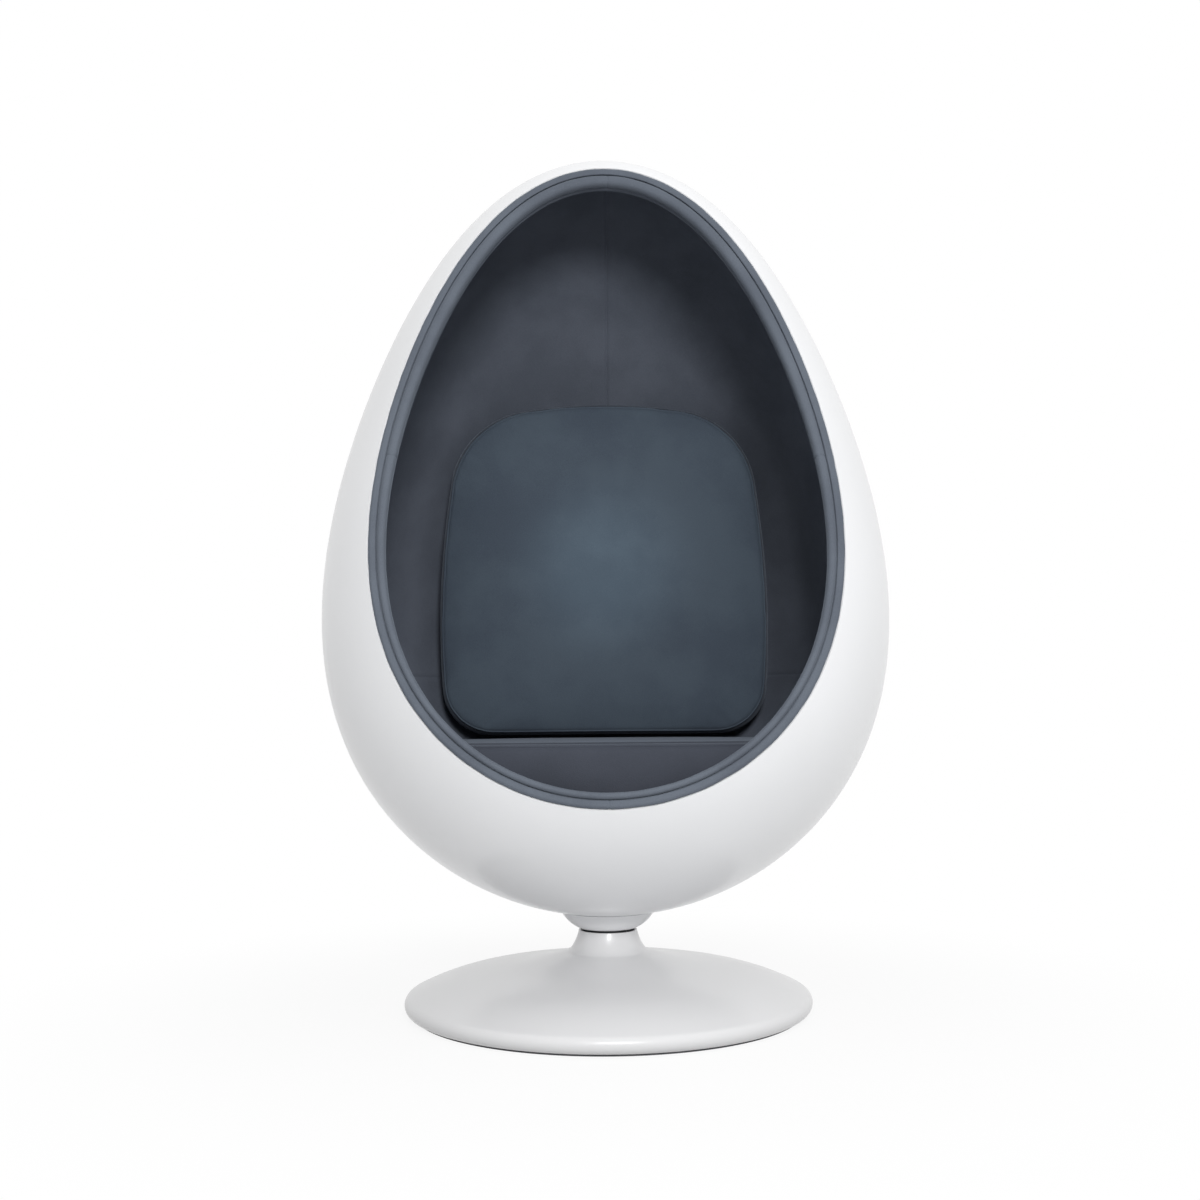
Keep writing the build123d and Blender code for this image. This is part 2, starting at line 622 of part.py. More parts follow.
def lining(inset, thickness):
    """One layer of the lining, from the deck up and from the rim's foam strip back."""
    layer = egg_layer(inset, thickness) & above(DECK_TOP + GLUE_LINE)
    return layer - opening_slab(BOLSTER_BACK - GLUE_LINE, FAR)


def deck_screw(clearance=0.0):
    """Countersunk screw pointing down from the deck's top."""
    screw = countersunk(
        DECK_SCREW_RADIUS + clearance, DECK_SCREW_HEAD + clearance, DECK_SCREW_LENGTH + clearance
    )
    return Pos(0, 0, DECK_TOP) * Rot(180, 0, 0) * screw


def seat_deck():
    deck = disc(DECK_BOTTOM, DECK_THICKNESS, DECK_RADIUS)
    return deck - [place * deck_screw(FIT_CLEARANCE) for place in DECK_SCREW_PLACES]


def deck_blocks():
    """Timber blocks whose outer ends follow the shell's inner face."""
    blank = Box(2 * BLOCK_REACH, BLOCK_WIDTH, BLOCK_HEIGHT, align=BOTTOM_UP)
    blocks = []
    for place, screw_place in zip(BLOCK_PLACES, DECK_SCREW_PLACES):
        block = Pos(0, 0, DECK_BOTTOM - BLOCK_HEIGHT) * place * blank
        block &= egg_solid(SHELL_WALL + GLUE_LINE)
        blocks.append(block - screw_place * deck_screw(FIT_CLEARANCE))
    return Compound(children=blocks)


# ================================================================ cushions
def seat_section(height, inset):
    """D-shaped face: a straight front, two corners, and the round of the lining behind."""
    wall = egg_radius(height, LINED_INSET + SEAT_CLEARANCE) - inset
    front = inset - SEAT_FRONT
    corner_y = front + SEAT_CORNER
    corner_x = sqrt((wall - SEAT_CORNER) ** 2 - corner_y**2)
    outward = Vector(corner_x, corner_y) / (wall - SEAT_CORNER)
    bend = (outward + Vector(0, -1)).normalized()
    middle = Vector(corner_x, corner_y) + bend * SEAT_CORNER
    touch = outward * wall
    side = Vector(cos(radians(SEAT_SIDE_ANGLE)), sin(radians(SEAT_SIDE_ANGLE))) * wall

    def at(point, hand):
        return Vector(hand * point.X, point.Y, height)

    edges = [Line((-corner_x, front, height), (corner_x, front, height))]
    for hand in (1, -1):
        edges.append(ThreePointArc((hand * corner_x, front, height), at(middle, hand), at(touch, hand)))
        edges.append(ThreePointArc(at(touch, hand), at(side, hand), (0, wall, height)))
    return Face(Wire(edges))


def seat_form(shrink=0.0):
    """Seat cushion: flat underside, bowed boxing and a low crown."""
    bottom = DECK_TOP + GLUE_LINE + shrink
    top = SEAT_HEIGHT - shrink
    low_seam = bottom + SEAT_UNDER_RISE
    high_seam = top - SEAT_CROWN
    reach_share, rise_share = SEAT_CROWN_MIDDLE
    sections = [
        (bottom, SEAT_UNDER_INSET), (low_seam, SEAT_SEAM_INSET), ((low_seam + high_seam) / 2, 0),
        (high_seam, SEAT_SEAM_INSET),
        (high_seam + rise_share * SEAT_CROWN, reach_share * SEAT_CROWN_REACH),
        (top, SEAT_CROWN_REACH),
    ]
    return loft([seat_section(height, inset + shrink) for height, inset in sections])


def back_layers(shrink=0.0):
    """Depth from the rear crown and inset of each section of the back cushion."""
    middle = BACK_CROWN + BACK_BOXING / 2
    seam = BACK_BOXING / 2
    reach_share, rise_share = BACK_CROWN_MIDDLE
    slope = (seam + rise_share * BACK_CROWN, reach_share * BACK_CROWN_REACH)
    face = [(seam, BACK_SEAM_INSET), slope, (middle, BACK_CROWN_REACH)]
    rear = [(middle - away + shrink, inset + shrink) for away, inset in reversed(face)]
    front = [(middle + away - shrink, inset + shrink) for away, inset in face]
    return [*rear, (middle, shrink), *front]


def back_plane():
    """Cushion's own plane: X across, Y up its face, Z forwards, at its rear crown's foot."""
    low, high = SEAT_HEIGHT + BACK_LOW_TOUCH, SEAT_HEIGHT + BACK_HIGH_TOUCH
    low_y = sqrt((egg_radius(low, LINED_INSET) - BACK_CLEARANCE) ** 2 - (BACK_WIDTH / 2) ** 2)
    high_half = BACK_HIGH_HALF * BACK_WIDTH / 2
    high_y = sqrt((egg_radius(high, LINED_INSET) - BACK_CLEARANCE) ** 2 - high_half**2)
    lean = atan2(low_y - high_y, high - low)
    dip = max((depth - BACK_CROWN) * sin(lean) - inset * cos(lean) for depth, inset in back_layers())
    foot = SEAT_HEIGHT + BACK_REST_CLEARANCE + dip
    forwards = Vector(0, -cos(lean), -sin(lean))
    seam_foot = Vector(0, low_y + (low - foot) * tan(lean), foot)
    return Plane(seam_foot - forwards * BACK_CROWN, x_dir=(1, 0, 0), z_dir=forwards)


def back_section(plane, depth, inset):
    """Rounded-square face, narrower at the shoulders, drawn in by the inset."""
    half, middle = BACK_WIDTH / 2, BACK_HEIGHT / 2

    def at(across, up):
        x = across * (half - inset)
        y = middle + (2 * up - 1) * (middle - inset)
        return plane.from_local_coords(Vector(x, y, depth))

    right = [at(across, up) for across, up in BACK_OUTLINE]
    left = [at(-across, up) for across, up in BACK_OUTLINE]
    edges = [Line(left[0], right[0]), ThreePointArc(right[-1], at(0, 1), left[-1])]
    for points in (left, right):
        edges += [ThreePointArc(*points[start:start + 3]) for start in range(0, len(points) - 1, 2)]
    return Face(Wire(edges))


def back_form(shrink=0.0):
    """Back cushion: boxing between two seams, and a crowned face front and rear."""
    plane = back_plane()
    return loft([back_section(plane, depth, inset) for depth, inset in back_layers(shrink)])


# ================================================================ all sub-parts
def build():
    foam = lining(LINING_INSET, LINING_FOAM)
    fabric = lining(FABRIC_INSET, LINING_FABRIC)
    upper_fabric = fabric & above(LINING_SEAM_HEIGHT)
    return {
        "floor_pad": disc(0, PAD_THICKNESS, EDGE_MIDDLE - PLATE_CLEARANCE),
        "base_plate": base_plate(),
        "base_screws": base_screws(),
        "pedestal_shell": pedestal_shell(),
        "column": column(),
        "column_bolts": column_bolts(),
        "column_nuts": column_nuts(),
        "neck_spacer": neck_spacer(),
        "spindle": spindle(),
        "thrust_race_lower": disc(
            SHOULDER_TOP, RACE_THICKNESS, COLUMN_RADIUS, JOURNAL_RADIUS + RUNNING_CLEARANCE
        ),
        "thrust_cage": thrust_cage(),
        "thrust_balls": thrust_balls(),
        "spindle_washer": disc(
            JOURNAL_TOP, SPINDLE_WASHER_THICKNESS, SPINDLE_WASHER_RADIUS, THREAD_RADIUS + FIT_CLEARANCE
        ),
        "spindle_nut": spindle_nut(),
        "thrust_race_upper": disc(UPPER_RACE_BOTTOM, RACE_THICKNESS, COLUMN_RADIUS, BUSH_BORE),
        "bearing_hub": bearing_hub(),
        "lower_bush": disc(FLANGE_BOTTOM, BUSH_LENGTH, BUSH_RADIUS, BUSH_BORE),
        "upper_bush": disc(HUB_TOP - BUSH_LENGTH, BUSH_LENGTH, BUSH_RADIUS, BUSH_BORE),
        "hub_cap": hub_cap(),
        "hub_bolts": hub_bolts(),
        "hub_washers": hub_washers(),
        "mounting_plate": mounting_plate(),
        "collar": collar(),
        "pod_shell": pod_shell(),
        "edge_band": edge_band(),
        "rim_roll": rim_roll(),
        "rim_bolster": rim_bolster(),
        "lining_foam_left": foam & beside(-1),
        "lining_foam_right": foam & beside(1),
        "lining_cover_left": upper_fabric & beside(-1),
        "lining_cover_right": upper_fabric & beside(1),
        "lining_cover_lower": fabric & below(LINING_SEAM_HEIGHT),
        "seat_deck": seat_deck(),
        "deck_blocks": deck_blocks(),
        "deck_screws": copies(deck_screw(), DECK_SCREW_PLACES),
        "seat_cushion_cover": seat_form() - seat_form(COVER_THICKNESS),
        "seat_cushion_core": seat_form(COVER_THICKNESS + CORE_CLEARANCE),
        "back_cushion_cover": back_form() - back_form(COVER_THICKNESS),
        "back_cushion_core": back_form(COVER_THICKNESS + CORE_CLEARANCE),
    }


lean = degrees(atan2(-back_plane().z_dir.Z, -back_plane().z_dir.Y))
print(f"egg {SHELL_WIDTH:.0f} wide, top at {SHELL_BOTTOM + SHELL_HEIGHT:.0f}")
print(f"back cushion leans {lean:.1f} degrees")
for name, solid in build().items():
    export_step(solid, f"parts/{name}.step")
    print(f"{name:20s} {len(solid.solids()):3d} solids {solid.volume / 1000:10.1f} cm3")
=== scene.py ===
# %% [markdown]
# # A pod chair, dressed in Blender
# The chair is an egg of white fibreglass, cut open in front, lined with dark cloth, and set
# on a round trumpet foot.  Its solids are loaded first and stay fixed.  Everything made here
# is laid over them, in metres, with Z up and the opening towards -Y.  The trim is narrower here
# than in the solids, and its lowest point a little higher.

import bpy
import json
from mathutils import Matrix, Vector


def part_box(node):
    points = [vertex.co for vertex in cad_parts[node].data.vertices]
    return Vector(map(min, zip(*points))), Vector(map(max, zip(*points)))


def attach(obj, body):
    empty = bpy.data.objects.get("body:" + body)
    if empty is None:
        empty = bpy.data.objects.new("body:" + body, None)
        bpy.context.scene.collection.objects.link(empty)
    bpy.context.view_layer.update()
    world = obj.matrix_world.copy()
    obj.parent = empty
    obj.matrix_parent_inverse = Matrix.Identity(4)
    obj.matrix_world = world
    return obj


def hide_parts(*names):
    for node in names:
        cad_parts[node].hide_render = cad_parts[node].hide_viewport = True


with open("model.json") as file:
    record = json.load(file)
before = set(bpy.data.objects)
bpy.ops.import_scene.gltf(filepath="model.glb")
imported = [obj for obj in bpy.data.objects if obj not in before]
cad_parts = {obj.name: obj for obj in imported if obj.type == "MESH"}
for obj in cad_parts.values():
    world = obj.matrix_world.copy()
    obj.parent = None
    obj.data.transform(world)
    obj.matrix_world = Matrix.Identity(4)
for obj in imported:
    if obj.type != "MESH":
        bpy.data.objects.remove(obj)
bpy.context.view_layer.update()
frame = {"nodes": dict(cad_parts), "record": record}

# %% [markdown]
# ## Hands for the work
# In the Blender window a maker selects an object, goes into edit mode, works and comes back.
# These few helpers do the same.  Everything is deselected first, because an operator acts on
# all that is selected.

# %% Select, edit, cut and finish
import json
from contextlib import contextmanager
from math import cos, pi, radians, sin

import bpy
import numpy as np
from mathutils import Matrix, Vector

MM = 0.001


def take(piece):
    """Makes a piece the only one selected, and the active one."""
    bpy.ops.object.select_all(action="DESELECT")
    piece.select_set(True)
    bpy.context.view_layer.objects.active = piece
    return piece


@contextmanager
def editing(piece):
    """Edit mode, with the whole mesh selected."""
    take(piece)
    bpy.ops.object.mode_set(mode="EDIT")
    bpy.ops.mesh.select_all(action="SELECT")
    yield
    bpy.ops.object.mode_set(mode="OBJECT")


def points_of(piece):
    points = np.empty(len(piece.data.vertices) * 3, np.float32)
    piece.data.vertices.foreach_get("co", points)
    return points.reshape(-1, 3).astype(float)


def move_points(piece, points):
    piece.data.vertices.foreach_set("co", points.astype(np.float32).ravel())
    piece.data.update()


def cut(piece, point, normal, keep="both"):
    """Cuts the mesh along a plane.  Keeps both sides, or what lies behind the plane or ahead."""
    with editing(piece):
        bpy.ops.mesh.bisect(
            plane_co=tuple(point), plane_no=tuple(normal),
            clear_outer=keep == "behind", clear_inner=keep == "ahead",
        )


def finish_with(piece, kind, **settings):
    """Adds a modifier and applies it."""
    take(piece)
    modifier = piece.modifiers.new(kind.title(), kind)
    for name, value in settings.items():
        setattr(modifier, name, value)
    bpy.ops.object.modifier_apply(modifier=modifier.name)


def smooth(piece, angle=35):
    take(piece)
    bpy.ops.object.shade_smooth_by_angle(angle=radians(angle))


def copy_of(piece, name):
    """A second object with a mesh of its own, in the same place."""
    copy = bpy.data.objects.new(name, piece.data.copy())
    bpy.context.scene.collection.objects.link(copy)
    return copy


# %% [markdown]
# ## Turning on the lathe
# The egg, the collar and the foot are all round about the swivel axis.  A maker draws half the
# outline once and spins it.  The first and last spun outlines meet, so doubles are merged.

# %% Spin an outline
TURN_STEPS = 192


def turned(name, outline, steps=TURN_STEPS):
    """A skin of revolution whose outline is a list of (radius, height) points."""
    points = [(radius, 0, height) for radius, height in outline]
    mesh = bpy.data.meshes.new(name)
    mesh.from_pydata(points, [(start, start + 1) for start in range(len(points) - 1)], [])
    piece = bpy.data.objects.new(name, mesh)
    bpy.context.scene.collection.objects.link(piece)
    with editing(piece):
        bpy.ops.mesh.spin(steps=steps, angle=2 * pi, center=(0, 0, 0), axis=(0, 0, 1))
        bpy.ops.mesh.select_all(action="SELECT")
        bpy.ops.mesh.remove_doubles(threshold=0.01 * MM)
        bpy.ops.mesh.normals_make_consistent(inside=False)
    return piece


# %% [markdown]
# ## The egg
# Shell, lining and trim all follow one egg.  Its outline is an ellipse with a taper, so a
# formula gives every layer: the same outline, moved inwards by an inset.  The widest radius
# and the top come from the frame.

# %% Egg formula
SHELL_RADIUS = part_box("pod_shell")[1].x
SHELL_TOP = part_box("pod_shell")[1].z
SHELL_BOTTOM = 143 * MM
EGG_TAPER = 0.241              # how much slimmer the top is than the bottom
EGG_BULGE = 0.036
EGG_SHOULDER = 0.076
EGG_MIDDLE = (SHELL_TOP + SHELL_BOTTOM) / 2
EGG_RISE = (SHELL_TOP - SHELL_BOTTOM) / 2
HALVINGS = 26                  # rounds of each search by halving


def egg_girth(latitude):
    up = np.sin(latitude)
    return np.cos(latitude) * (1 - EGG_TAPER * up + EGG_BULGE * up**2 + EGG_SHOULDER * up**3)


LATITUDES = np.radians(np.arange(-90, 90.1, 0.25))
WIDEST = egg_girth(LATITUDES).max()


def egg_outline(latitude, inset=0.0):
    """Radius and height on the egg at a latitude, moved inwards by the inset."""
    nudge = 1e-5
    radius, run = [egg_girth(latitude + step) / WIDEST * SHELL_RADIUS for step in (0, nudge)]
    height, rise = [EGG_MIDDLE + EGG_RISE * np.sin(latitude + step) for step in (0, nudge)]
    run, rise = run - radius, rise - height
    length = np.hypot(run, rise)
    return radius - inset * rise / length, height + inset * run / length


def egg_radius(height, inset=0.0):
    """Radius of a layer of the egg at a height."""
    low, high = np.full(np.shape(height), -pi / 2), np.full(np.shape(height), pi / 2)
    for _ in range(HALVINGS):
        middle = (low + high) / 2
        under = egg_outline(middle, inset)[1] < height
        low, high = np.where(under, middle, low), np.where(under, high, middle)
    return egg_outline(middle, inset)[0]


def egg_places(points):
    """Latitude and turn on the egg of each point, along its ray from the egg's middle."""
    ray = np.arctan2(points[:, 2] - EGG_MIDDLE, np.hypot(points[:, 0], points[:, 1]))
    radius, height = egg_outline(LATITUDES)
    latitude = np.interp(ray, np.arctan2(height - EGG_MIDDLE, radius), LATITUDES)
    return latitude, np.arctan2(points[:, 1], points[:, 0])


def egg_layer(latitude, turn, inset):
    radius, height = egg_outline(latitude, inset)
    return np.stack([radius * np.cos(turn), radius * np.sin(turn), height], 1)


def lay_on_egg(piece, inset):
    """Moves each point onto the egg's layer at an inset."""
    move_points(piece, egg_layer(*egg_places(points_of(piece)), inset))


# %% [markdown]
# ## The opening
# One plane, leaning back, cuts the egg open.  Distances in front of it are positive.  A place
# on the trim is an angle about the opening's middle, a margin inwards from the rim within the
# plane, and an offset from the plane.

# %% Opening plane and rim
OPENING_LEAN = radians(11.65)
RIM_BOTTOM = 331 * MM          # 2 mm above the solid's
RIM_CENTRE_RISE = 480 * MM     # up the opening, where the rays to its rim start
RIM_REACH = 0.6                # longer than any ray to the rim
RIM_NUDGE = 0.01               # radians to either side, for the rim's direction
OPENING_NORMAL = Vector((0, -cos(OPENING_LEAN), sin(OPENING_LEAN)))
OPENING_UP = Vector((0, sin(OPENING_LEAN), cos(OPENING_LEAN)))
OPENING_FOOT = Vector((0, -float(egg_radius(RIM_BOTTOM)), RIM_BOTTOM))
OPENING_MIDDLE = OPENING_FOOT + OPENING_UP * RIM_CENTRE_RISE


def ahead_of_opening(points):
    return (points - np.array(OPENING_FOOT)) @ np.array(OPENING_NORMAL)


def rim_angle(points):
    """Each point's angle about the opening's middle: 0 at the right, a quarter turn at the top."""
    away = points - np.array(OPENING_MIDDLE)
    return np.arctan2(away @ np.array(OPENING_UP), away[:, 0])


def rim_points(angle, inset, offset):
    """Points on the egg's layer at an inset, in the plane at an offset from the opening."""
    ray = np.outer(np.cos(angle), (1, 0, 0)) + np.outer(np.sin(angle), OPENING_UP)
    start = np.array(OPENING_MIDDLE) + np.outer(offset, OPENING_NORMAL)
    low, high = np.zeros(len(angle)), np.full(len(angle), RIM_REACH)
    for _ in range(HALVINGS):
        middle = (low + high) / 2
        points = start + ray * middle[:, None]
        inside = np.hypot(points[:, 0], points[:, 1]) < egg_radius(points[:, 2], inset)
        low, high = np.where(inside, middle, low), np.where(inside, high, middle)
    return points


def trim_points(angle, margin, offset):
    """Points inside the rim by a margin, which is measured square to the rim."""
    before, here, after = [
        rim_points(angle + nudge, 0.0, np.zeros(len(angle))) for nudge in (-RIM_NUDGE, 0, RIM_NUDGE)
    ]
    inward = np.cross(OPENING_NORMAL, after - before)
    inward /= np.linalg.norm(inward, axis=1)[:, None]
    return here + inward * np.reshape(margin, (-1, 1)) + np.outer(offset, OPENING_NORMAL)


rim_ends = rim_points(np.array([-pi / 2, 0, pi / 2]), 0.0, np.zeros(3))
print("rim from", rim_ends[0].round(3), "to", rim_ends[2].round(3), "half width", rim_ends[1][0].round(3))

# %% [markdown]
# ## Shell
# The real shell is hand-laid fibreglass with a thick white gel coat.  The egg's outline is
# spun, the plane of the opening cuts it, and Solidify gives it its wall inwards, so that the
# outer face keeps its size.  The outline starts at the hub's hole and is flat under the hub's
# flange.

# %% Shell
SHELL_WALL = 6 * MM
BAND_DEPTH = 4 * MM
GLUE_LINE = 0.3 * MM
FLANGE_THICKNESS = 8 * MM
FLANGE_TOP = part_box("bearing_hub")[0].z + FLANGE_THICKNESS
HUB_HOLE = 27 * MM
EGG_ROWS = 110


def egg_skin(name, lowest_radius=0.0):
    """The whole egg as one skin, from a hole at its bottom to its top."""
    low = LATITUDES[np.argmax(egg_outline(LATITUDES)[0] >= lowest_radius)]
    radius, height = egg_outline(np.linspace(low, pi / 2, EGG_ROWS))
    return turned(name, zip(np.maximum(radius, 0), height))


shell = egg_skin("shell", HUB_HOLE)
cut(shell, OPENING_FOOT - OPENING_NORMAL * (BAND_DEPTH + GLUE_LINE), OPENING_NORMAL, "behind")
lay_on_egg(shell, 0.0)
finish_with(shell, "SOLIDIFY", thickness=SHELL_WALL, offset=-1, use_even_offset=True)
shell_points = points_of(shell)
shell_points[:, 2] = np.maximum(shell_points[:, 2], FLANGE_TOP)
move_points(shell, shell_points)
smooth(shell)
print("shell", len(shell.data.polygons), "faces")

# %% [markdown]
# ## Collar
# A short flared skirt hides the bolted hub.  Its side bows out a little, its foot has a soft
# lip, and its upper edge follows the egg.  The whole closed section is drawn, inside and out,
# and spun, and Bevel softens its corners.

# %% Collar
COLLAR_BOTTOM, COLLAR_FOOT_RADIUS, COLLAR_TOP_RADIUS = 123 * MM, 45 * MM, 73 * MM
COLLAR_BELLY = 3 * MM
COLLAR_WALL = 4 * MM
COLLAR_ROUND, COLLAR_CORNER = 0.9 * MM, radians(40)    # corners sharper than this are rounded


def egg_foot_height(radius):
    radii, heights = egg_outline(LATITUDES[LATITUDES < 0])
    return float(np.interp(radius, radii, heights))


def collar_side(foot_radius, top_radius, steps=16):
    """Bowed line from the foot up to the egg."""
    foot = np.array([foot_radius, COLLAR_BOTTOM])
    run = np.array([top_radius, egg_foot_height(top_radius) - GLUE_LINE]) - foot
    out = np.array([run[1], -run[0]]) / np.hypot(*run) * COLLAR_BELLY
    return [foot + run * step + out * sin(pi * step) for step in np.linspace(0, 1, steps + 1)]


outer_side = collar_side(COLLAR_FOOT_RADIUS, COLLAR_TOP_RADIUS)
inner_side = collar_side(COLLAR_FOOT_RADIUS - COLLAR_WALL, COLLAR_TOP_RADIUS - COLLAR_WALL)
collar = turned("collar_skirt", [*outer_side, *inner_side[::-1], outer_side[0]])
finish_with(
    collar, "BEVEL", width=COLLAR_ROUND, segments=3, limit_method="ANGLE", angle_limit=COLLAR_CORNER
)
smooth(collar)

# %% [markdown]
# ## Trumpet foot
# The foot is one spun aluminium casting, enamelled white: a narrow neck that flares into a low
# dome with a round edge.  A smooth line through a few points gives the flare, an arc the edge,
# and a line one wall further in closes the section over the base plate.

# %% Trumpet foot
PAD_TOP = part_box("floor_pad")[1].z
PLATE_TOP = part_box("base_plate")[1].z
BASE_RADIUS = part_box("pedestal_shell")[1].x
NECK_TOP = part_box("pedestal_shell")[1].z
EDGE_RADIUS = 13 * MM
EDGE_START = radians(65)
EDGE_STEPS = 20
NECK_WAIST = (58 * MM, NECK_TOP - 28.5 * MM)
NECK_SLOPE = (0.2, -0.98)      # direction of the outline at the neck's top
FOOT_RISE = 83 * MM
FLARE = [(0.09, 1.0), (0.34, 0.82), (0.74, 0.63)]    # shares of the reach and of the rise
PEDESTAL_WALL = 4 * MM
LIP_WIDTH = 16 * MM
TRUMPET_ROUND, TRUMPET_CORNER = 0.8 * MM, radians(50)


def smooth_line(points, start, end, steps=14):
    """Smooth line through points, with a given direction at each end."""
    points = [np.array(point) for point in points]
    slopes = [(after - before) / 2 for before, after in zip(points, points[2:])]
    first, last = points[1] - points[0], points[-1] - points[-2]
    slopes.insert(0, np.array(start) * np.hypot(*first))
    slopes.append(np.array(end) * np.hypot(*last))
    line = []
    for near, far, leave, arrive in zip(points, points[1:], slopes, slopes[1:]):
        for t in np.linspace(0, 1, steps, endpoint=False):
            line.append(
                near * (2 * t**3 - 3 * t**2 + 1) + leave * (t**3 - 2 * t**2 + t)
                + far * (3 * t**2 - 2 * t**3) + arrive * (t**3 - t**2)
            )
    return [*line, points[-1]]


def moved_in(line, wall):
    """The same line, a wall's thickness to its inner side."""
    line = np.array(line)
    along = np.gradient(line, axis=0)
    along /= np.hypot(along[:, 0], along[:, 1])[:, None]
    return line + np.stack([along[:, 1], -along[:, 0]], 1) * wall


edge_middle, edge_height = BASE_RADIUS - EDGE_RADIUS, PAD_TOP + EDGE_RADIUS
edge_arc = [
    (edge_middle + EDGE_RADIUS * cos(turn), edge_height + EDGE_RADIUS * sin(turn))
    for turn in np.linspace(EDGE_START, -pi / 2, EDGE_STEPS)
]
reach = edge_middle - NECK_WAIST[0]
flare = [(NECK_WAIST[0] + out * reach, up * FOOT_RISE) for out, up in FLARE]
outer_line = smooth_line(
    [(COLLAR_FOOT_RADIUS, NECK_TOP), NECK_WAIST, *flare, edge_arc[0]],
    start=NECK_SLOPE, end=(sin(EDGE_START), -cos(EDGE_START)),
)
inner_line = moved_in(outer_line, PEDESTAL_WALL)
lip = [
    (edge_middle, PLATE_TOP), (edge_middle - LIP_WIDTH, PLATE_TOP),
    (edge_middle - LIP_WIDTH, PLATE_TOP + PEDESTAL_WALL), (edge_middle, PLATE_TOP + PEDESTAL_WALL),
]
trumpet = turned("trumpet_foot", [*outer_line, *edge_arc[1:], *lip, *inner_line[::-1], outer_line[0]])
finish_with(
    trumpet, "BEVEL", width=TRUMPET_ROUND, segments=3, limit_method="ANGLE", angle_limit=TRUMPET_CORNER
)
smooth(trumpet)

# %% [markdown]
# ## Band and roll round the rim
# The shell's raw edge is covered by a flat band of cloth, and a padded roll lies inside it.
# Both are one closed ring, so each starts as a torus: its long way round becomes the angle
# along the rim, and its short way round becomes the section, squarer for the band.

# %% Rings bent onto the rim
RIM_STEPS = 420
SECTION_STEPS = 28
GATHERS = ((61, 2, 7), (37, 3, 5))   # gathers round the rim, how far they drift, and how often
PINCH_LOOPS = (-2, -1, -0.5, 0, 0.5, 1, 2)    # shares of a pinch's width


def ring_on_rim(name, margin, width, back, front, squareness, ripple=0.0, on_egg=None, girth=((0, 1),)):
    """A torus bent onto the rim.  The ripple is the height of small uneven gathers.

    With on_egg, the ring's outer side lies on the egg's layer at that inset instead.  Girth
    gives shares of the width, from the rim's lowest point (-1) to its highest (1).
    """
    bpy.ops.object.select_all(action="DESELECT")
    bpy.ops.mesh.primitive_torus_add(
        major_segments=RIM_STEPS, minor_segments=SECTION_STEPS, major_radius=1, minor_radius=0.2
    )
    ring = bpy.context.object
    ring.name = name
    points = points_of(ring)
    angle = np.arctan2(points[:, 1], points[:, 0])
    turn = np.arctan2(points[:, 2], np.hypot(points[:, 0], points[:, 1]) - 1)
    out, ahead = [
        np.sign(share) * abs(share) ** (2 / squareness) for share in (np.cos(turn), np.sin(turn))
    ]
    gathers = ripple * sum(
        np.sin(count * angle + drift * np.sin(often * angle)) for count, drift, often in GATHERS
    )
    swollen = 1 + 2 * gathers / (front - back)
    offset = (front + back) / 2 + ahead * swollen * (front - back) / 2
    across = (1 - out * swollen) / 2
    inner = trim_points(angle, margin + width * np.interp(np.sin(angle), *zip(*girth)), offset)
    outer = trim_points(angle, margin, offset) if on_egg is None else rim_points(angle, on_egg, offset)
    move_points(ring, outer + (inner - outer) * across[:, None])
    smooth(ring, 180)
    return ring


def pinch(piece, point, along, width, depth, reach):
    """Draws a ring in at a stitched joint: extra loops are cut there, then pulled inwards."""
    point, along = Vector(point), Vector(along).normalized()
    for share in PINCH_LOOPS:
        cut(piece, point + along * width * share, along)
    points = points_of(piece)
    away = points - np.array(point)
    near = np.linalg.norm(away, axis=1) < reach
    distance = away @ np.array(along)
    middle = points[near & (abs(distance) < width)].mean(0) - np.array(point)
    radial = away - np.outer(distance, along) - middle
    length = np.maximum(np.linalg.norm(radial, axis=1), 1e-6)
    pull = near * depth * np.exp(-(distance / width) ** 2)
    move_points(piece, points - radial * (pull / length)[:, None])


BAND_SETBACK, BAND_WIDTH = 0.5 * MM, 8.5 * MM    # the solid's band is 14 mm wide
GROOVE = 1.2 * MM
ROLL_WIDTH, ROLL_DEPTH, ROLL_PROUD = 14 * MM, 17 * MM, 3 * MM
ROLL_BACK = ROLL_PROUD - ROLL_DEPTH
ROLL_MARGIN = BAND_WIDTH + GROOVE
ROLL_GIRTH = ((-1, 0.68), (-0.7, 0.78), (0, 1.0), (0.6, 1.16), (1, 1.18))
band = ring_on_rim(
    "edge_band_cloth", 0.0, BAND_WIDTH, -BAND_DEPTH, 0.0,
    squareness=4.0, ripple=0.05 * MM, on_egg=BAND_SETBACK,
)
roll = ring_on_rim(
    "rim_roll_cloth", ROLL_MARGIN, ROLL_WIDTH, ROLL_BACK, ROLL_PROUD,
    squareness=2.4, ripple=0.12 * MM, girth=ROLL_GIRTH,
)

# %% [markdown]
# Band and roll are sewn to one strip of tape.  It closes the groove between them from behind,
# so that no pale foam shows there.

# %% Tape under the groove
TAPE_WIDTH, TAPE_THICKNESS = 7 * MM, 2 * MM
TAPE_LAP, TAPE_GAP = 2.5 * MM, 0.5 * MM    # how far it reaches under the band, and lies behind it
TAPE_FRONT = -BAND_DEPTH - TAPE_GAP
tape = ring_on_rim(
    "trim_tape", BAND_WIDTH - TAPE_LAP, TAPE_WIDTH, TAPE_FRONT - TAPE_THICKNESS, TAPE_FRONT,
    squareness=5.0,
)

# %% [markdown]
# The roll is sewn round a strip of foam inside the shell's edge.  The foam follows the roll's
# girth and stays a little behind its inner side, so that only cloth shows.

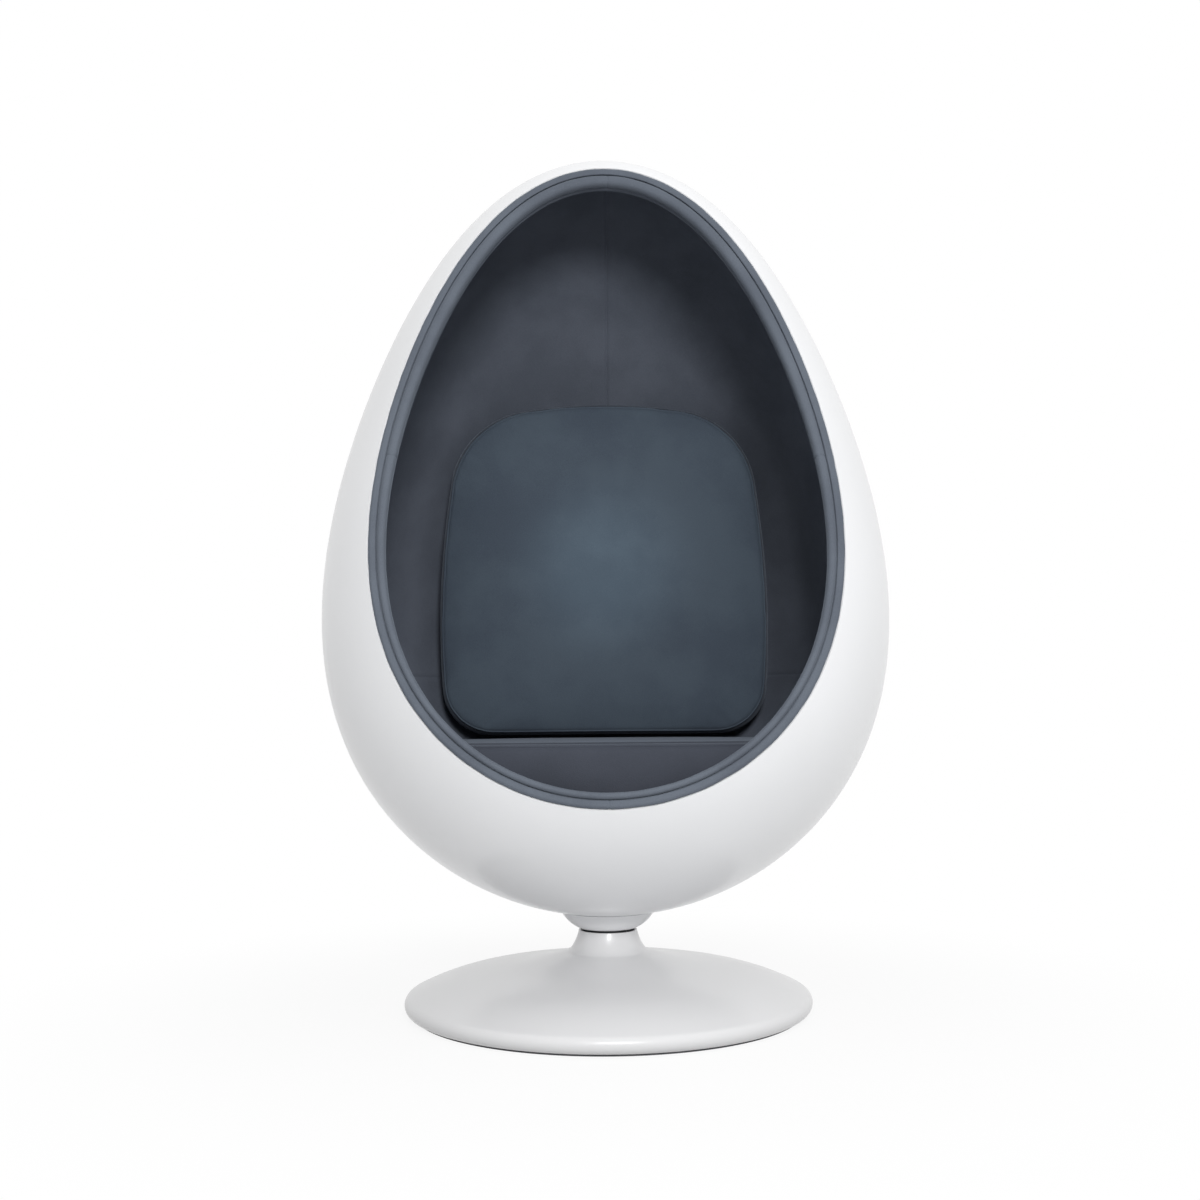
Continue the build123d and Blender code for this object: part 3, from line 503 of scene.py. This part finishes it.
# %% Foam behind the roll
BOLSTER_SHY = 6 * MM           # the foam stays this far behind the roll's inner side
BOLSTER_WIDTH = ROLL_MARGIN + ROLL_WIDTH - BOLSTER_SHY
BOLSTER_DEPTH = 12 * MM
BOLSTER_FRONT = ROLL_BACK - GLUE_LINE
BOLSTER_GIRTH = [(height, 1 + (share - 1) * ROLL_WIDTH / BOLSTER_WIDTH) for height, share in ROLL_GIRTH]
bolster = ring_on_rim(
    "rim_bolster_foam", 0.0, BOLSTER_WIDTH, BOLSTER_FRONT - BOLSTER_DEPTH, BOLSTER_FRONT,
    squareness=3.0, on_egg=SHELL_WALL + GLUE_LINE, girth=BOLSTER_GIRTH,
)

# %% Stitched joints of band and roll
JOINT_ANGLES = {"left": radians(177), "right": radians(2), "top": radians(89)}


def rim_joint(angle, margin, offset):
    """A point on the trim and the direction along the rim there."""
    angles = np.array([angle - RIM_NUDGE, angle, angle + RIM_NUDGE])
    before, here, after = trim_points(angles, margin, np.full(3, offset))
    return here, after - before


for angle in JOINT_ANGLES.values():
    place, along = rim_joint(angle, ROLL_MARGIN + ROLL_WIDTH / 2, ROLL_PROUD - ROLL_DEPTH / 2)
    pinch(roll, place, along, width=1.6 * MM, depth=1.0 * MM, reach=25 * MM)
place, along = rim_joint(-pi / 2, BAND_WIDTH / 2, -BAND_DEPTH / 2)
pinch(band, place, along, width=1.4 * MM, depth=0.9 * MM, reach=20 * MM)
for ring in (band, roll):
    smooth(ring, 180)

# %% [markdown]
# ## Lining
# Foam and cloth line the hollow.  The cloth comes in three panels: left and right ones that
# meet in a seam behind the sitter's head, and a lower one under a level seam.  One skin of the
# egg is cut where loops of points are needed, each point then gets its own inset, and the skin
# is parted into the panels.

# %% Lining
LINED_INSET = 18.6 * MM
LINING_CLOTH = 2 * MM
LINING_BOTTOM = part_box("lining_cover_lower")[0].z
LEVEL_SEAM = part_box("lining_cover_lower")[1].z
CLIMB = [                      # millimetres behind the opening, and inwards from its rim
    (7, 19.5), (13, 21.6), (18, 21.8), (21, 21.2), (24, 19.6), (27, 17.0), (60, -12.0),
]
CLIMB_START, CLIMB_END = 22 * MM, 58 * MM
CLIMB_LOOPS = np.arange(12, 64, 2.5) * MM    # loops behind the opening, where the cloth climbs
LINING_EDGE = 10 * MM          # the cloth ends this far behind the opening
SEAM_WIDTH = 2.2 * MM
SEAM_DEPTH = 1.6 * MM
SEAM_LOOPS = (-12, -6, -3, -1.5, 0, 1.5, 3, 6, 12)
PUFF_HEIGHT, PUFF_DISTANCE, PUFF_WIDTH = 0.5 * MM, 8 * MM, 5 * MM    # swelling beside a seam
WAVE_HEIGHT = 0.5 * MM         # slack in the cloth, deep in the hollow
WAVE_START, WAVE_END = 60 * MM, 120 * MM
BACK_SEAM = 10 * MM            # the centre-back seam is sewn a little to the right


def step_between(value, low, high):
    """0 below the low end, 1 above the high end, and smooth between."""
    share = np.clip((value - low) / (high - low), 0, 1)
    return share * share * (3 - 2 * share)


lining = egg_skin("lining")
cut(lining, OPENING_FOOT - OPENING_NORMAL * LINING_EDGE, OPENING_NORMAL, "behind")
cut(lining, (0, 0, LINING_BOTTOM), (0, 0, 1), "ahead")
for depth in CLIMB_LOOPS:
    cut(lining, OPENING_FOOT - OPENING_NORMAL * depth, OPENING_NORMAL)
for loop in SEAM_LOOPS:
    cut(lining, (BACK_SEAM + loop * MM, 0, 0), (1, 0, 0))
    cut(lining, (0, 0, LEVEL_SEAM + loop * MM), (0, 0, 1))

lay_on_egg(lining, 0.0)
points = points_of(lining)
behind = -ahead_of_opening(points)
angle = rim_angle(points)
back_seam = np.where(points[:, 1] > 0, abs(points[:, 0] - BACK_SEAM), 1)
level_seam = abs(points[:, 2] - LEVEL_SEAM)
back_seam[points[:, 2] < LEVEL_SEAM] = 1
relief = np.zeros(len(points))
for distance in (back_seam, level_seam):
    relief -= SEAM_DEPTH * np.exp(-(distance / SEAM_WIDTH) ** 2)
    relief += PUFF_HEIGHT * np.exp(-((distance - PUFF_DISTANCE) / PUFF_WIDTH) ** 2)
waves = np.sin(9 * points[:, 0] + 23 * points[:, 2]) * np.sin(17 * points[:, 1] - 11 * points[:, 2])
relief += WAVE_HEIGHT * waves * step_between(behind, WAVE_START, WAVE_END)
lay_on_egg(lining, LINED_INSET + relief)
deep = points_of(lining)
girth = np.interp(np.sin(angle), *zip(*ROLL_GIRTH))
margin = np.interp(behind / MM, *zip(*CLIMB)) * MM + ROLL_WIDTH * (girth - 1) + relief
near = trim_points(angle, margin, -behind)
depth_share = step_between(behind, CLIMB_START, CLIMB_END)[:, None]
move_points(lining, near + (deep - near) * depth_share)

lining_left, lining_right, lining_lower = [
    copy_of(lining, f"lining_{side}_cloth") for side in ("left", "right", "lower")
]
bpy.data.objects.remove(lining)
cut(lining_left, (BACK_SEAM, 0, 0), (1, 0, 0), "behind")
cut(lining_right, (BACK_SEAM, 0, 0), (1, 0, 0), "ahead")
for panel in (lining_left, lining_right):
    cut(panel, (0, 0, LEVEL_SEAM), (0, 0, 1), "ahead")
cut(lining_lower, (0, 0, LEVEL_SEAM), (0, 0, 1), "behind")
lining_panels = (lining_left, lining_right, lining_lower)
for panel in lining_panels:
    with editing(panel):
        bpy.ops.mesh.remove_doubles(threshold=0.05 * MM)
        bpy.ops.mesh.flip_normals()
    finish_with(panel, "SOLIDIFY", thickness=LINING_CLOTH, offset=-1)
    smooth(panel, 60)
print("lining", [len(panel.data.polygons) for panel in lining_panels], "faces")

# %% [markdown]
# ## Cushions
# Each cushion is a foam core in a sewn cover.  A cover is cut flat and swells where the foam
# presses on it, which is what cloth under pressure does.  The core's solid is copied, given an
# even net of small faces, and blown up a little, while its seams are held in place.  Seams are
# narrower than a face of that net, so they are laid on afterwards as thin turned edges.
#
# The back cushion's outline is a rounded square.  Before it is blown up, both its faces are
# crowned: each point rises by how far it lies from the outline, on its line to the middle.

# %% Swell a cover
SEAT_VOXEL, BACK_VOXEL = 7 * MM, 7 * MM
FOAM_SLACK = 5 * MM            # the foam lies this far inside the net
HELD_WIDTH = 6 * MM            # cover on either side of a seam that is held with it
BACK_CROWN = 26 * MM
CROWN_FULLNESS, CROWN_EDGE = 2.6, 0.62    # how flat its middle is, and how steep its edge
OUTLINE_SECTORS = 90
SWELL_FRAMES = 20
PRESSURE = 4.0


def swell(piece, held, most):
    """Cloth under pressure.  Held is 0 to 1 for each point, and no point moves further than most."""
    group = piece.vertex_groups.new(name="held")
    for index in np.nonzero(held > 0.01)[0]:
        group.add([int(index)], float(held[index]), "REPLACE")
    start = points_of(piece)
    take(piece)
    modifier = piece.modifiers.new("Cloth", "CLOTH")
    cloth = modifier.settings
    cloth.quality = 6
    cloth.mass = 0.4
    cloth.tension_stiffness = cloth.compression_stiffness = 12
    cloth.shear_stiffness = 6
    cloth.bending_stiffness = 2
    cloth.use_pressure = True
    cloth.uniform_pressure_force = PRESSURE
    cloth.effector_weights.gravity = 0
    cloth.vertex_group_mass = group.name
    for moment in range(1, SWELL_FRAMES + 1):
        bpy.context.scene.frame_set(moment)
    bpy.ops.object.modifier_apply(modifier=modifier.name)
    bpy.context.scene.frame_set(1)
    moved = points_of(piece) - start
    length = np.maximum(np.linalg.norm(moved, axis=1), 1e-9)
    kept = most * np.tanh(length / most)
    move_points(piece, start + moved * (kept / length)[:, None])
    piece.vertex_groups.clear()
    print(piece.name, "swelled by up to", round(kept.max() / MM, 1), "mm")


def push(piece, distance):
    """Every point outwards by a distance."""
    normals = np.empty(len(piece.data.vertices) * 3, np.float32)
    piece.data.vertices.foreach_get("normal", normals)
    move_points(piece, points_of(piece) + normals.reshape(-1, 3) * distance)


def even_net(piece, voxel):
    take(piece)
    piece.data.remesh_voxel_size = voxel
    bpy.ops.object.voxel_remesh()


def crown(piece, axis, depth):
    """Gives both faces across an axis one even swell, which rises from the outline's seam."""
    points = points_of(piece)
    along = points @ axis
    up = points @ np.cross((1, 0, 0), axis)
    middle_up = (up.max() + up.min()) / 2
    turn = np.arctan2(up - middle_up, points[:, 0])
    away = np.hypot(up - middle_up, points[:, 0])
    sectors = np.floor((turn + pi) / (2 * pi) * OUTLINE_SECTORS).astype(int) % OUTLINE_SECTORS
    reach = np.array([away[sectors == sector].max() for sector in range(OUTLINE_SECTORS)])
    reach = (np.roll(reach, 1) + reach + np.roll(reach, -1)) / 3
    centres = (np.arange(OUTLINE_SECTORS) + 0.5) / OUTLINE_SECTORS * 2 * pi - pi
    share = np.clip(away / np.interp(turn, centres, reach, period=2 * pi), 0, 1)
    rise = depth * (1 - share ** CROWN_FULLNESS) ** CROWN_EDGE
    low_seam, high_seam = along.min() + depth, along.max() - depth
    target = np.where(along > high_seam, high_seam + rise, along)
    target = np.where(along < low_seam, low_seam - rise, target)
    move_points(piece, points + np.outer(target - along, axis))
    even_net(piece, BACK_VOXEL)
    finish_with(piece, "SMOOTH", factor=0.5, iterations=5)


def soft_copy(node, name, voxel, axis=None):
    """An even net of small faces round a CAD solid, and the foam that lies a little inside it."""
    piece = copy_of(frame["nodes"][node], name)
    piece.data.materials.clear()
    with editing(piece):
        bpy.ops.mesh.remove_doubles(threshold=0.01 * MM)
    even_net(piece, voxel)
    finish_with(piece, "SMOOTH", factor=0.5, iterations=6)
    if axis:
        crown(piece, np.array(axis), BACK_CROWN)
    foam = copy_of(piece, name + "_foam")
    push(foam, -FOAM_SLACK)
    smooth(foam, 180)
    return piece, foam


# %% Seat cushion
SEAT_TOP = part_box("seat_cushion_cover")[1].z
SEAT_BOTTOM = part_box("seat_cushion_cover")[0].z
SEAT_SEAM_DROP, SEAT_SEAM_RISE = 7 * MM, 8 * MM    # from the top, and from the bottom
SEAT_HIGH_SEAM = SEAT_TOP - SEAT_SEAM_DROP
SEAT_LOW_SEAM = SEAT_BOTTOM + SEAT_SEAM_RISE
SEAT_FLAT = 5 * MM             # the underside stays flat up to this height
seat, seat_foam = soft_copy("seat_cushion_core", "seat_cushion", SEAT_VOXEL)
heights = points_of(seat)[:, 2]
seam = np.minimum(abs(heights - SEAT_HIGH_SEAM), abs(heights - SEAT_LOW_SEAM))
held = np.maximum(np.exp(-(seam / HELD_WIDTH) ** 2), heights < SEAT_BOTTOM + SEAT_FLAT)
swell(seat, held, most=6 * MM)
finish_with(seat, "SUBSURF", levels=1, render_levels=1)
smooth(seat, 180)

# %% Back cushion
BACK_LEAN = radians(3.5)
back_ahead = Vector((0, -cos(BACK_LEAN), -sin(BACK_LEAN)))
back, back_foam = soft_copy("back_cushion_core", "back_cushion", BACK_VOXEL, back_ahead)
back_depths = points_of(back) @ np.array(back_ahead)
back_front, back_rear = back_depths.max(), back_depths.min()
FRONT_SEAM, REAR_SEAM = back_front - BACK_CROWN, back_rear + BACK_CROWN
seam = np.minimum(abs(back_depths - FRONT_SEAM), abs(back_depths - REAR_SEAM))
swell(back, np.exp(-(seam / HELD_WIDTH) ** 2), most=9 * MM)
finish_with(back, "SUBSURF", levels=1, render_levels=1)
smooth(back, 180)

# %% [markdown]
# ### Turned seams
# Where two panels of a cover meet, their edges are turned in and make a thin raised line.  A
# copy of the cushion is cut along the seam's plane and nothing but the cut is kept.  That line
# becomes a curve with a round bevel, so it lies on the swollen cover at every point.

# %% Seam lines
SEAM_CORD = 1.6 * MM
SEAM_SPACING = 1.2 * MM        # points of the cut closer than this are merged
SEAM_ROUNDS = 6                # rounds of evening the line out


def seam_line(piece, name, point, normal):
    """A thin cord along the line in which a plane cuts the piece."""
    line = copy_of(piece, name)
    line.data.materials.clear()
    with editing(line):
        bpy.ops.mesh.bisect(
            plane_co=tuple(point), plane_no=tuple(normal), clear_outer=True, clear_inner=True
        )
        bpy.ops.mesh.select_all(action="SELECT")
        bpy.ops.mesh.remove_doubles(threshold=SEAM_SPACING)
    take(line)
    bpy.ops.object.convert(target="CURVE")
    line.data.bevel_depth = SEAM_CORD
    line.data.bevel_resolution = 3
    for spline in line.data.splines:
        for _ in range(SEAM_ROUNDS):
            places = np.array([knot.co[:3] for knot in spline.points])
            places = (np.roll(places, 1, 0) + 2 * places + np.roll(places, -1, 0)) / 4
            for knot, place in zip(spline.points, places):
                knot.co[:3] = place
    bpy.ops.object.convert(target="MESH")
    smooth(line, 180)
    return line


back_seams = [
    seam_line(back, f"back_cushion_seam_{side}", back_ahead * depth, back_ahead)
    for side, depth in (("front", FRONT_SEAM), ("rear", REAR_SEAM))
]
seat_seams = [
    seam_line(seat, f"seat_cushion_seam_{side}", (0, 0, height), (0, 0, 1))
    for side, height in (("upper", SEAT_HIGH_SEAM), ("lower", SEAT_LOW_SEAM))
]
print("seams", [len(line.data.polygons) for line in back_seams + seat_seams], "faces")

# %% [markdown]
# ## Shader maths in plain sums
# A finish is a small sum of patterns.  A wire stands for one socket, and adding, taking from or
# multiplying wires adds the Math nodes.  Every other node comes from one method.

# %% Wires and finishes


class Wire:
    """An output socket of a shader node."""

    def __init__(self, finish, socket):
        self.finish, self.socket = finish, socket

    def math(self, operation, first, second):
        return self.finish.node("ShaderNodeMath", {"operation": operation}, {0: first, 1: second})

    def __add__(self, other):
        return self.math("ADD", self, other)

    def __rsub__(self, other):
        return self.math("SUBTRACT", other, self)

    def __mul__(self, other):
        return self.math("MULTIPLY", self, other)

    __radd__, __rmul__ = __add__, __mul__


def paint(code):
    """A colour written as six hexadecimal digits, as Blender's linear light."""
    shares = [int(code[place:place + 2], 16) / 255 for place in (0, 2, 4)]
    linear = [
        share / 12.92 if share <= 0.04045 else ((share + 0.055) / 1.055) ** 2.4 for share in shares
    ]
    return (*linear, 1)


class Finish:
    """A material with one Principled shader."""

    def __init__(self, name, **numbers):
        self.material = bpy.data.materials.new(name)
        self.material.use_nodes = True
        self.nodes, self.links = self.material.node_tree.nodes, self.material.node_tree.links
        self.shader = self.nodes["Principled BSDF"]
        for socket, value in numbers.items():
            self.shader.inputs[socket.replace("_", " ")].default_value = value
        self.place = self.node("ShaderNodeTexCoord", output="Object")

    def node(self, kind, settings=None, values=None, output=0):
        made = self.nodes.new(kind)
        for name, value in (settings or {}).items():
            setattr(made, name, value)
        for socket, value in (values or {}).items():
            self.join(value, made.inputs[socket])
        return Wire(self, made.outputs[output])

    def join(self, value, socket):
        if isinstance(value, Wire):
            self.links.new(value.socket, socket)
        else:
            socket.default_value = value

    def noise(self, size, detail=2.0, stretch=None):
        """Soft noise whose blobs are about the given size in metres, from 0 to 1."""
        place = self.place
        if stretch:
            place = self.node("ShaderNodeMapping", values={"Vector": place, "Scale": stretch})
        values = {"Vector": place, "Scale": 1 / size, "Detail": detail}
        return self.node("ShaderNodeTexNoise", values=values)

    def ramp(self, factor, low, high):
        """The factor stretched so that low becomes 0 and high becomes 1."""
        return self.node(
            "ShaderNodeMapRange", {"interpolation_type": "SMOOTHSTEP"},
            {"Value": factor, "From Min": low, "From Max": high},
        )

    def mix(self, factor, first, second):
        return self.node("ShaderNodeMix", {"data_type": "RGBA"}, {0: factor, 6: first, 7: second}, output=2)

    def bump(self, height, distance, normal=None):
        values = {"Height": height, "Distance": distance, "Strength": 1.0}
        if normal:
            values["Normal"] = normal
        return self.node("ShaderNodeBump", values=values)

    def surface(self, **wires):
        for socket, value in wires.items():
            self.join(value, self.shader.inputs[socket.replace("_", " ")])
        return self.material


# %% [markdown]
# ## Finishes
# The gel coat is smooth and a little wavy, as hand-polished fibreglass is.  The cloth has a
# short dense pile: its tone shifts in soft patches where the pile lies another way, it glows
# at glancing angles, and it has a fine grain.

# %% White gel coat and enamel
def gloss_white(name, colour):
    finish = Finish(name, Roughness=0.3, Coat_Weight=0.35, Coat_Roughness=0.12)
    cloud = finish.noise(0.35, detail=3)
    colour = finish.mix(finish.ramp(cloud, 0.35, 0.65) * 0.06, paint(colour), paint("C8CACC"))
    wave = finish.bump(finish.noise(0.05, detail=1), 0.15 * MM)
    peel = finish.bump(finish.noise(0.004, detail=2), 0.012 * MM, wave)
    return finish.surface(Base_Color=colour, Roughness=finish.noise(0.12) * 0.08 + 0.27, Normal=peel)


# %% Pile cloth
# Painted light: the back cushion's face is painted lighter round its middle, as a pool of light.
LIT_POOL_MIDDLE = sum(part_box("back_cushion_cover"), Vector()) / 2
LIT_POOL_NEAR, LIT_POOL_FAR = 0.03, 0.19    # the painted pool of light fades out between these distances
# the boxing strip: darker cloth, and darker still as painted shade for the shadow on the cushion's sides
BOXING_AND_SHADE = ("2D323B", "373C46")


def painted_light_pool(finish, near, far):
    """1 in the middle of the back cushion, where a pool of light is painted lighter, and 0 round it."""
    aside = finish.node("ShaderNodeMapping", values={
        "Vector": finish.place, "Location": (0, 0, -LIT_POOL_MIDDLE.z), "Scale": (1, 0, 1),
    })
    distance = finish.node("ShaderNodeVectorMath", {"operation": "LENGTH"}, {0: aside}, output="Value")
    return 1 - finish.ramp(distance, near, far)


def pile_cloth(name, deep, pale, sheen=0.35, lit_centre=None):
    finish = Finish(name, Sheen_Weight=sheen, Sheen_Roughness=0.45)
    finish.shader.inputs["Sheen Tint"].default_value = paint("AEB9C8")
    finish.shader.inputs["Specular IOR Level"].default_value = 0.25
    patch = finish.ramp(finish.noise(0.11, detail=4), 0.3, 0.7)
    grain = finish.noise(0.0013, detail=3)
    tone = finish.ramp(patch * 0.3 + grain * 0.7, 0.2, 0.8)
    relief = finish.bump(finish.noise(0.03, detail=2), 0.5 * MM)
    nap = finish.bump(grain, 0.25 * MM, relief)
    colour = finish.mix(tone, paint(deep), paint(pale))
    if lit_centre:
        # painted light: lighter colours in the cushion's middle, as a pool of light on its face
        centre = painted_light_pool(finish, LIT_POOL_NEAR, LIT_POOL_FAR)
        colour = finish.mix(centre, colour, finish.mix(tone, paint(lit_centre[0]), paint(lit_centre[1])))
        # the boxing between the seams: darker cloth, with painted shade for the shadow along the cushion's
        # sides
        depth = finish.node(
            "ShaderNodeVectorMath", {"operation": "DOT_PRODUCT"},
            {0: finish.place, 1: back_ahead}, output="Value",
        )
        face = finish.ramp(depth, FRONT_SEAM - 2 * MM, FRONT_SEAM + 1 * MM)
        colour = finish.mix(face, finish.mix(tone, paint(BOXING_AND_SHADE[0]), paint(BOXING_AND_SHADE[1])), colour)
    return finish.surface(Base_Color=colour, Roughness=grain * 0.15 + 0.75, Normal=nap)


# %% Inner parts: metals, plastics, foam, felt and plywood
def metal(name, colour, dark, roughness):
    finish = Finish(name, Metallic=1.0)
    lines = finish.noise(0.006, detail=4, stretch=(1, 1, 6))
    return finish.surface(
        Base_Color=finish.mix(lines, paint(dark), paint(colour)),
        Roughness=lines * 0.2 + roughness, Normal=finish.bump(lines, 0.03 * MM),
    )


def plain_grain(name, deep, pale, size, roughness, relief):
    """Nylon, foam and felt: a fine grain of two tones, with its relief."""
    finish = Finish(name)
    grain = finish.noise(size, detail=4)
    return finish.surface(
        Base_Color=finish.mix(grain, paint(deep), paint(pale)),
        Roughness=grain * 0.1 + roughness, Normal=finish.bump(grain, relief),
    )


def plywood(name):
    finish = Finish(name)
    grain = finish.noise(0.012, detail=5, stretch=(1, 12, 12))
    return finish.surface(
        Base_Color=finish.mix(grain, paint("B98F5E"), paint("DDBB8A")),
        Roughness=grain * 0.15 + 0.5, Normal=finish.bump(grain, 0.08 * MM),
    )


FINISHES = {
    "gloss_white": gloss_white("gel coat", "F0F1F3"),
    # painted shade: the foot's white is darker than the shell's, for the shade the pod casts on it
    "enamel": gloss_white("white enamel in painted shade", "DADADB"),
    "trim_fabric": pile_cloth("trim cloth", "535963", "626973"),
    "lining_fabric": pile_cloth("lining cloth", "575D68", "666C78"),
    # the lighter pair is the painted pool of light in the back cushion's middle
    "cushion_fabric": pile_cloth("cushion cloth", "46505D", "525E6A", lit_centre=("566573", "627280")),
    # painted shade: the seat is the cushion cloth, darker, for the shade that falls on it inside the hollow
    "seat_fabric": pile_cloth("cushion cloth in painted shade", "383C45", "40444E"),
    "steel": plain_grain("black powder coat", "4E4F52", "626366", 0.0012, 0.45, 0.03 * MM),
    "zinc_steel": metal("zinc plated steel", "D2D3D3", "B9BAB6", 0.3),
    "bronze": metal("bearing bronze", "D8BC90", "BC9C6C", 0.3),
    "nylon": plain_grain("dark nylon", "4A4A4F", "58585D", 0.003, 0.4, 0.01 * MM),
    "felt": plain_grain("grey felt", "58585B", "6C6C70", 0.002, 0.9, 0.3 * MM),
    "foam": plain_grain("cut foam", "DDD9C6", "EDEADC", 0.0015, 0.85, 0.4 * MM),
    "plywood": plywood("birch plywood"),
}

# %% [markdown]
# ## Each piece to its body and its finish
# The pod turns on the pedestal, so every new piece says which of the two it rides on, which
# solids it stands for, and which finish it takes.  Solids that are right as they are only get
# a finish.

# %% Dress the pieces
DRESS = [
    (shell, "pod", "gloss_white", "gloss_white", ["pod_shell"]),
    (collar, "pod", "gloss_white", "gloss_white", ["collar"]),
    # the foot takes the shell's white, darkened as painted shade
    (trumpet, "pedestal", "gloss_white", "enamel", ["pedestal_shell"]),
    (band, "pod", "trim_fabric", "trim_fabric", ["edge_band"]),
    (roll, "pod", "trim_fabric", "trim_fabric", ["rim_roll"]),
    (lining_left, "pod", "lining_fabric", "lining_fabric", ["lining_cover_left"]),
    (lining_right, "pod", "lining_fabric", "lining_fabric", ["lining_cover_right"]),
    (lining_lower, "pod", "lining_fabric", "lining_fabric", ["lining_cover_lower"]),
    (tape, "pod", "trim_fabric", "trim_fabric", []),
    (bolster, "pod", "foam", "foam", ["rim_bolster"]),
    (seat_foam, "pod", "foam", "foam", ["seat_cushion_core"]),
    (back_foam, "pod", "foam", "foam", ["back_cushion_core"]),
    # the seat wears the cushion cloth darkened as painted shade
    (seat, "pod", "cushion_fabric", "seat_fabric", ["seat_cushion_cover"]),
    (back, "pod", "cushion_fabric", "cushion_fabric", ["back_cushion_cover"]),
    *[(line, "pod", "cushion_fabric", "cushion_fabric", []) for line in back_seams],
    *[(line, "pod", "cushion_fabric", "seat_fabric", []) for line in seat_seams],
]


def wear(piece, finish):
    piece.data.materials.clear()
    piece.data.materials.append(FINISHES[finish])


for piece, body, slot, finish, nodes in DRESS:
    wear(piece, finish)
    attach(piece, body)
    if nodes:
        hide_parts(*nodes)

SLOTS = {part["node"]: part["material_slot"] for part in frame["record"]["subparts"]}
for name, node in frame["nodes"].items():
    if not node.hide_render:
        wear(node, SLOTS[name])

# %% [markdown]
# ## Floor, light and camera
# The chair stands on a white sweep.  Seen by the camera or in a reflection the floor shines as
# white as the background, and close to the foot it still takes the chair's shadow.

# %% Floor
bpy.ops.object.select_all(action="DESELECT")
FLOOR_RADIUS = 14
FLOOR_SEEN, FLOOR_BOUNCE = 0.86, 0.55    # its tone for the camera, and for the light it gives back
SHADOW_NEAR, SHADOW_FAR = 0.36, 1.1      # the foot's shadow fades out between these distances
VEIL_LEAST = 0.88                        # share of white glow over the shadow, by the foot
bpy.ops.mesh.primitive_circle_add(vertices=64, radius=FLOOR_RADIUS, fill_type="NGON")
floor = bpy.context.object
floor.name = "floor"

sweep = Finish("white sweep", Roughness=0.9)
sweep.shader.inputs["Specular IOR Level"].default_value = 0.0
watched, mirrored, refracted = [
    sweep.node("ShaderNodeLightPath", output=f"Is {kind} Ray")
    for kind in ("Camera", "Glossy", "Transmission")
]
seen = watched + mirrored + refracted
sweep.surface(Base_Color=sweep.mix(watched, (*[FLOOR_BOUNCE] * 3, 1), (*[FLOOR_SEEN] * 3, 1)))
distance = sweep.node(
    "ShaderNodeVectorMath", {"operation": "LENGTH"}, {0: sweep.place}, output="Value"
)
far = sweep.ramp(distance, SHADOW_NEAR, SHADOW_FAR)
glow = sweep.node("ShaderNodeEmission", values={"Color": (1, 1, 1, 1), "Strength": 1.0})
veil = seen * (far * (1 - VEIL_LEAST) + VEIL_LEAST)
mixed = sweep.node("ShaderNodeMixShader", values={0: veil, 1: Wire(sweep, sweep.shader.outputs[0]), 2: glow})
sweep.links.new(mixed.socket, sweep.nodes["Material Output"].inputs["Surface"])
floor.data.materials.append(sweep.material)

# %% World and lamps
SKY_LEAN = (0.25, -0.25, 0.65)  # the studio is brightest overhead, to the right and in front
SKY_LOW = 0.27
world = bpy.data.worlds.new("studio")
bpy.context.scene.world = world
world.use_nodes = True
sky = world.node_tree.nodes["Background"]
sky.inputs["Color"].default_value = (1, 1, 1, 1)
links = world.node_tree.links


def world_node(kind, **inputs):
    made = world.node_tree.nodes.new(kind)
    for socket, value in inputs.items():
        socket = made.inputs[socket.replace("_", " ")]
        if hasattr(value, "links"):
            links.new(value, socket)
        else:
            socket.default_value = value
    return made


direction = world_node("ShaderNodeTexCoord").outputs["Generated"]
lean = world_node("ShaderNodeVectorMath")
lean.operation = "DOT_PRODUCT"
lean.inputs[1].default_value = SKY_LEAN
links.new(direction, lean.inputs[0])
around = world_node("ShaderNodeMapRange", Value=lean.outputs["Value"], To_Min=SKY_LOW, To_Max=SKY_LOW + 1)
path = world_node("ShaderNodeLightPath").outputs
seen_rays = world_node("ShaderNodeMath", Value=0.0)
seen_rays.operation = "MAXIMUM"
links.new(path["Is Camera Ray"], seen_rays.inputs[0])
links.new(path["Is Glossy Ray"], seen_rays.inputs[1])
strength = world_node(
    "ShaderNodeMapRange", Value=seen_rays.outputs[0], To_Min=around.outputs["Result"], To_Max=1.0
)
links.new(strength.outputs["Result"], sky.inputs["Strength"])


def softbox(name, place, aim, size, power):
    bpy.ops.object.select_all(action="DESELECT")
    bpy.ops.object.light_add(type="AREA", location=place)
    lamp = bpy.context.object
    lamp.name = name
    lamp.data.shape = "DISK"
    lamp.data.size = size
    lamp.data.energy = power
    lamp.rotation_euler = (Vector(aim) - Vector(place)).to_track_quat("-Z", "Y").to_euler()


KEY_PLACE, KEY_AIM = (0.2, -2.7, 1.25), (0, 0, 0.75)
softbox("key", KEY_PLACE, KEY_AIM, size=0.5, power=40)

# %% Camera
CAMERA_TURN = radians(-0.54)   # it stands this far round to the left, seen from the front
CAMERA_DISTANCE, CAMERA_HEIGHT = 2.1026, 0.447
CAMERA_PITCH, CAMERA_ROLL = radians(5.04), radians(-0.467)
CAMERA_AIM = radians(0.22)     # it looks this much to the left of the swivel axis
CAMERA_LENS, CAMERA_SENSOR = 39.9, 36
bpy.ops.object.camera_add(
    location=(CAMERA_DISTANCE * sin(CAMERA_TURN), -CAMERA_DISTANCE * cos(CAMERA_TURN), CAMERA_HEIGHT)
)
camera = bpy.context.object
camera.data.lens = CAMERA_LENS
camera.data.sensor_width = CAMERA_SENSOR
camera.matrix_world = Matrix.Translation(camera.location) @ (
    Matrix.Rotation(CAMERA_TURN + CAMERA_AIM, 4, "Z")
    @ Matrix.Rotation(pi / 2 + CAMERA_PITCH, 4, "X")
    @ Matrix.Rotation(CAMERA_ROLL, 4, "Z")
)
bpy.context.scene.camera = camera
bpy.context.scene.view_settings.view_transform = "Standard"
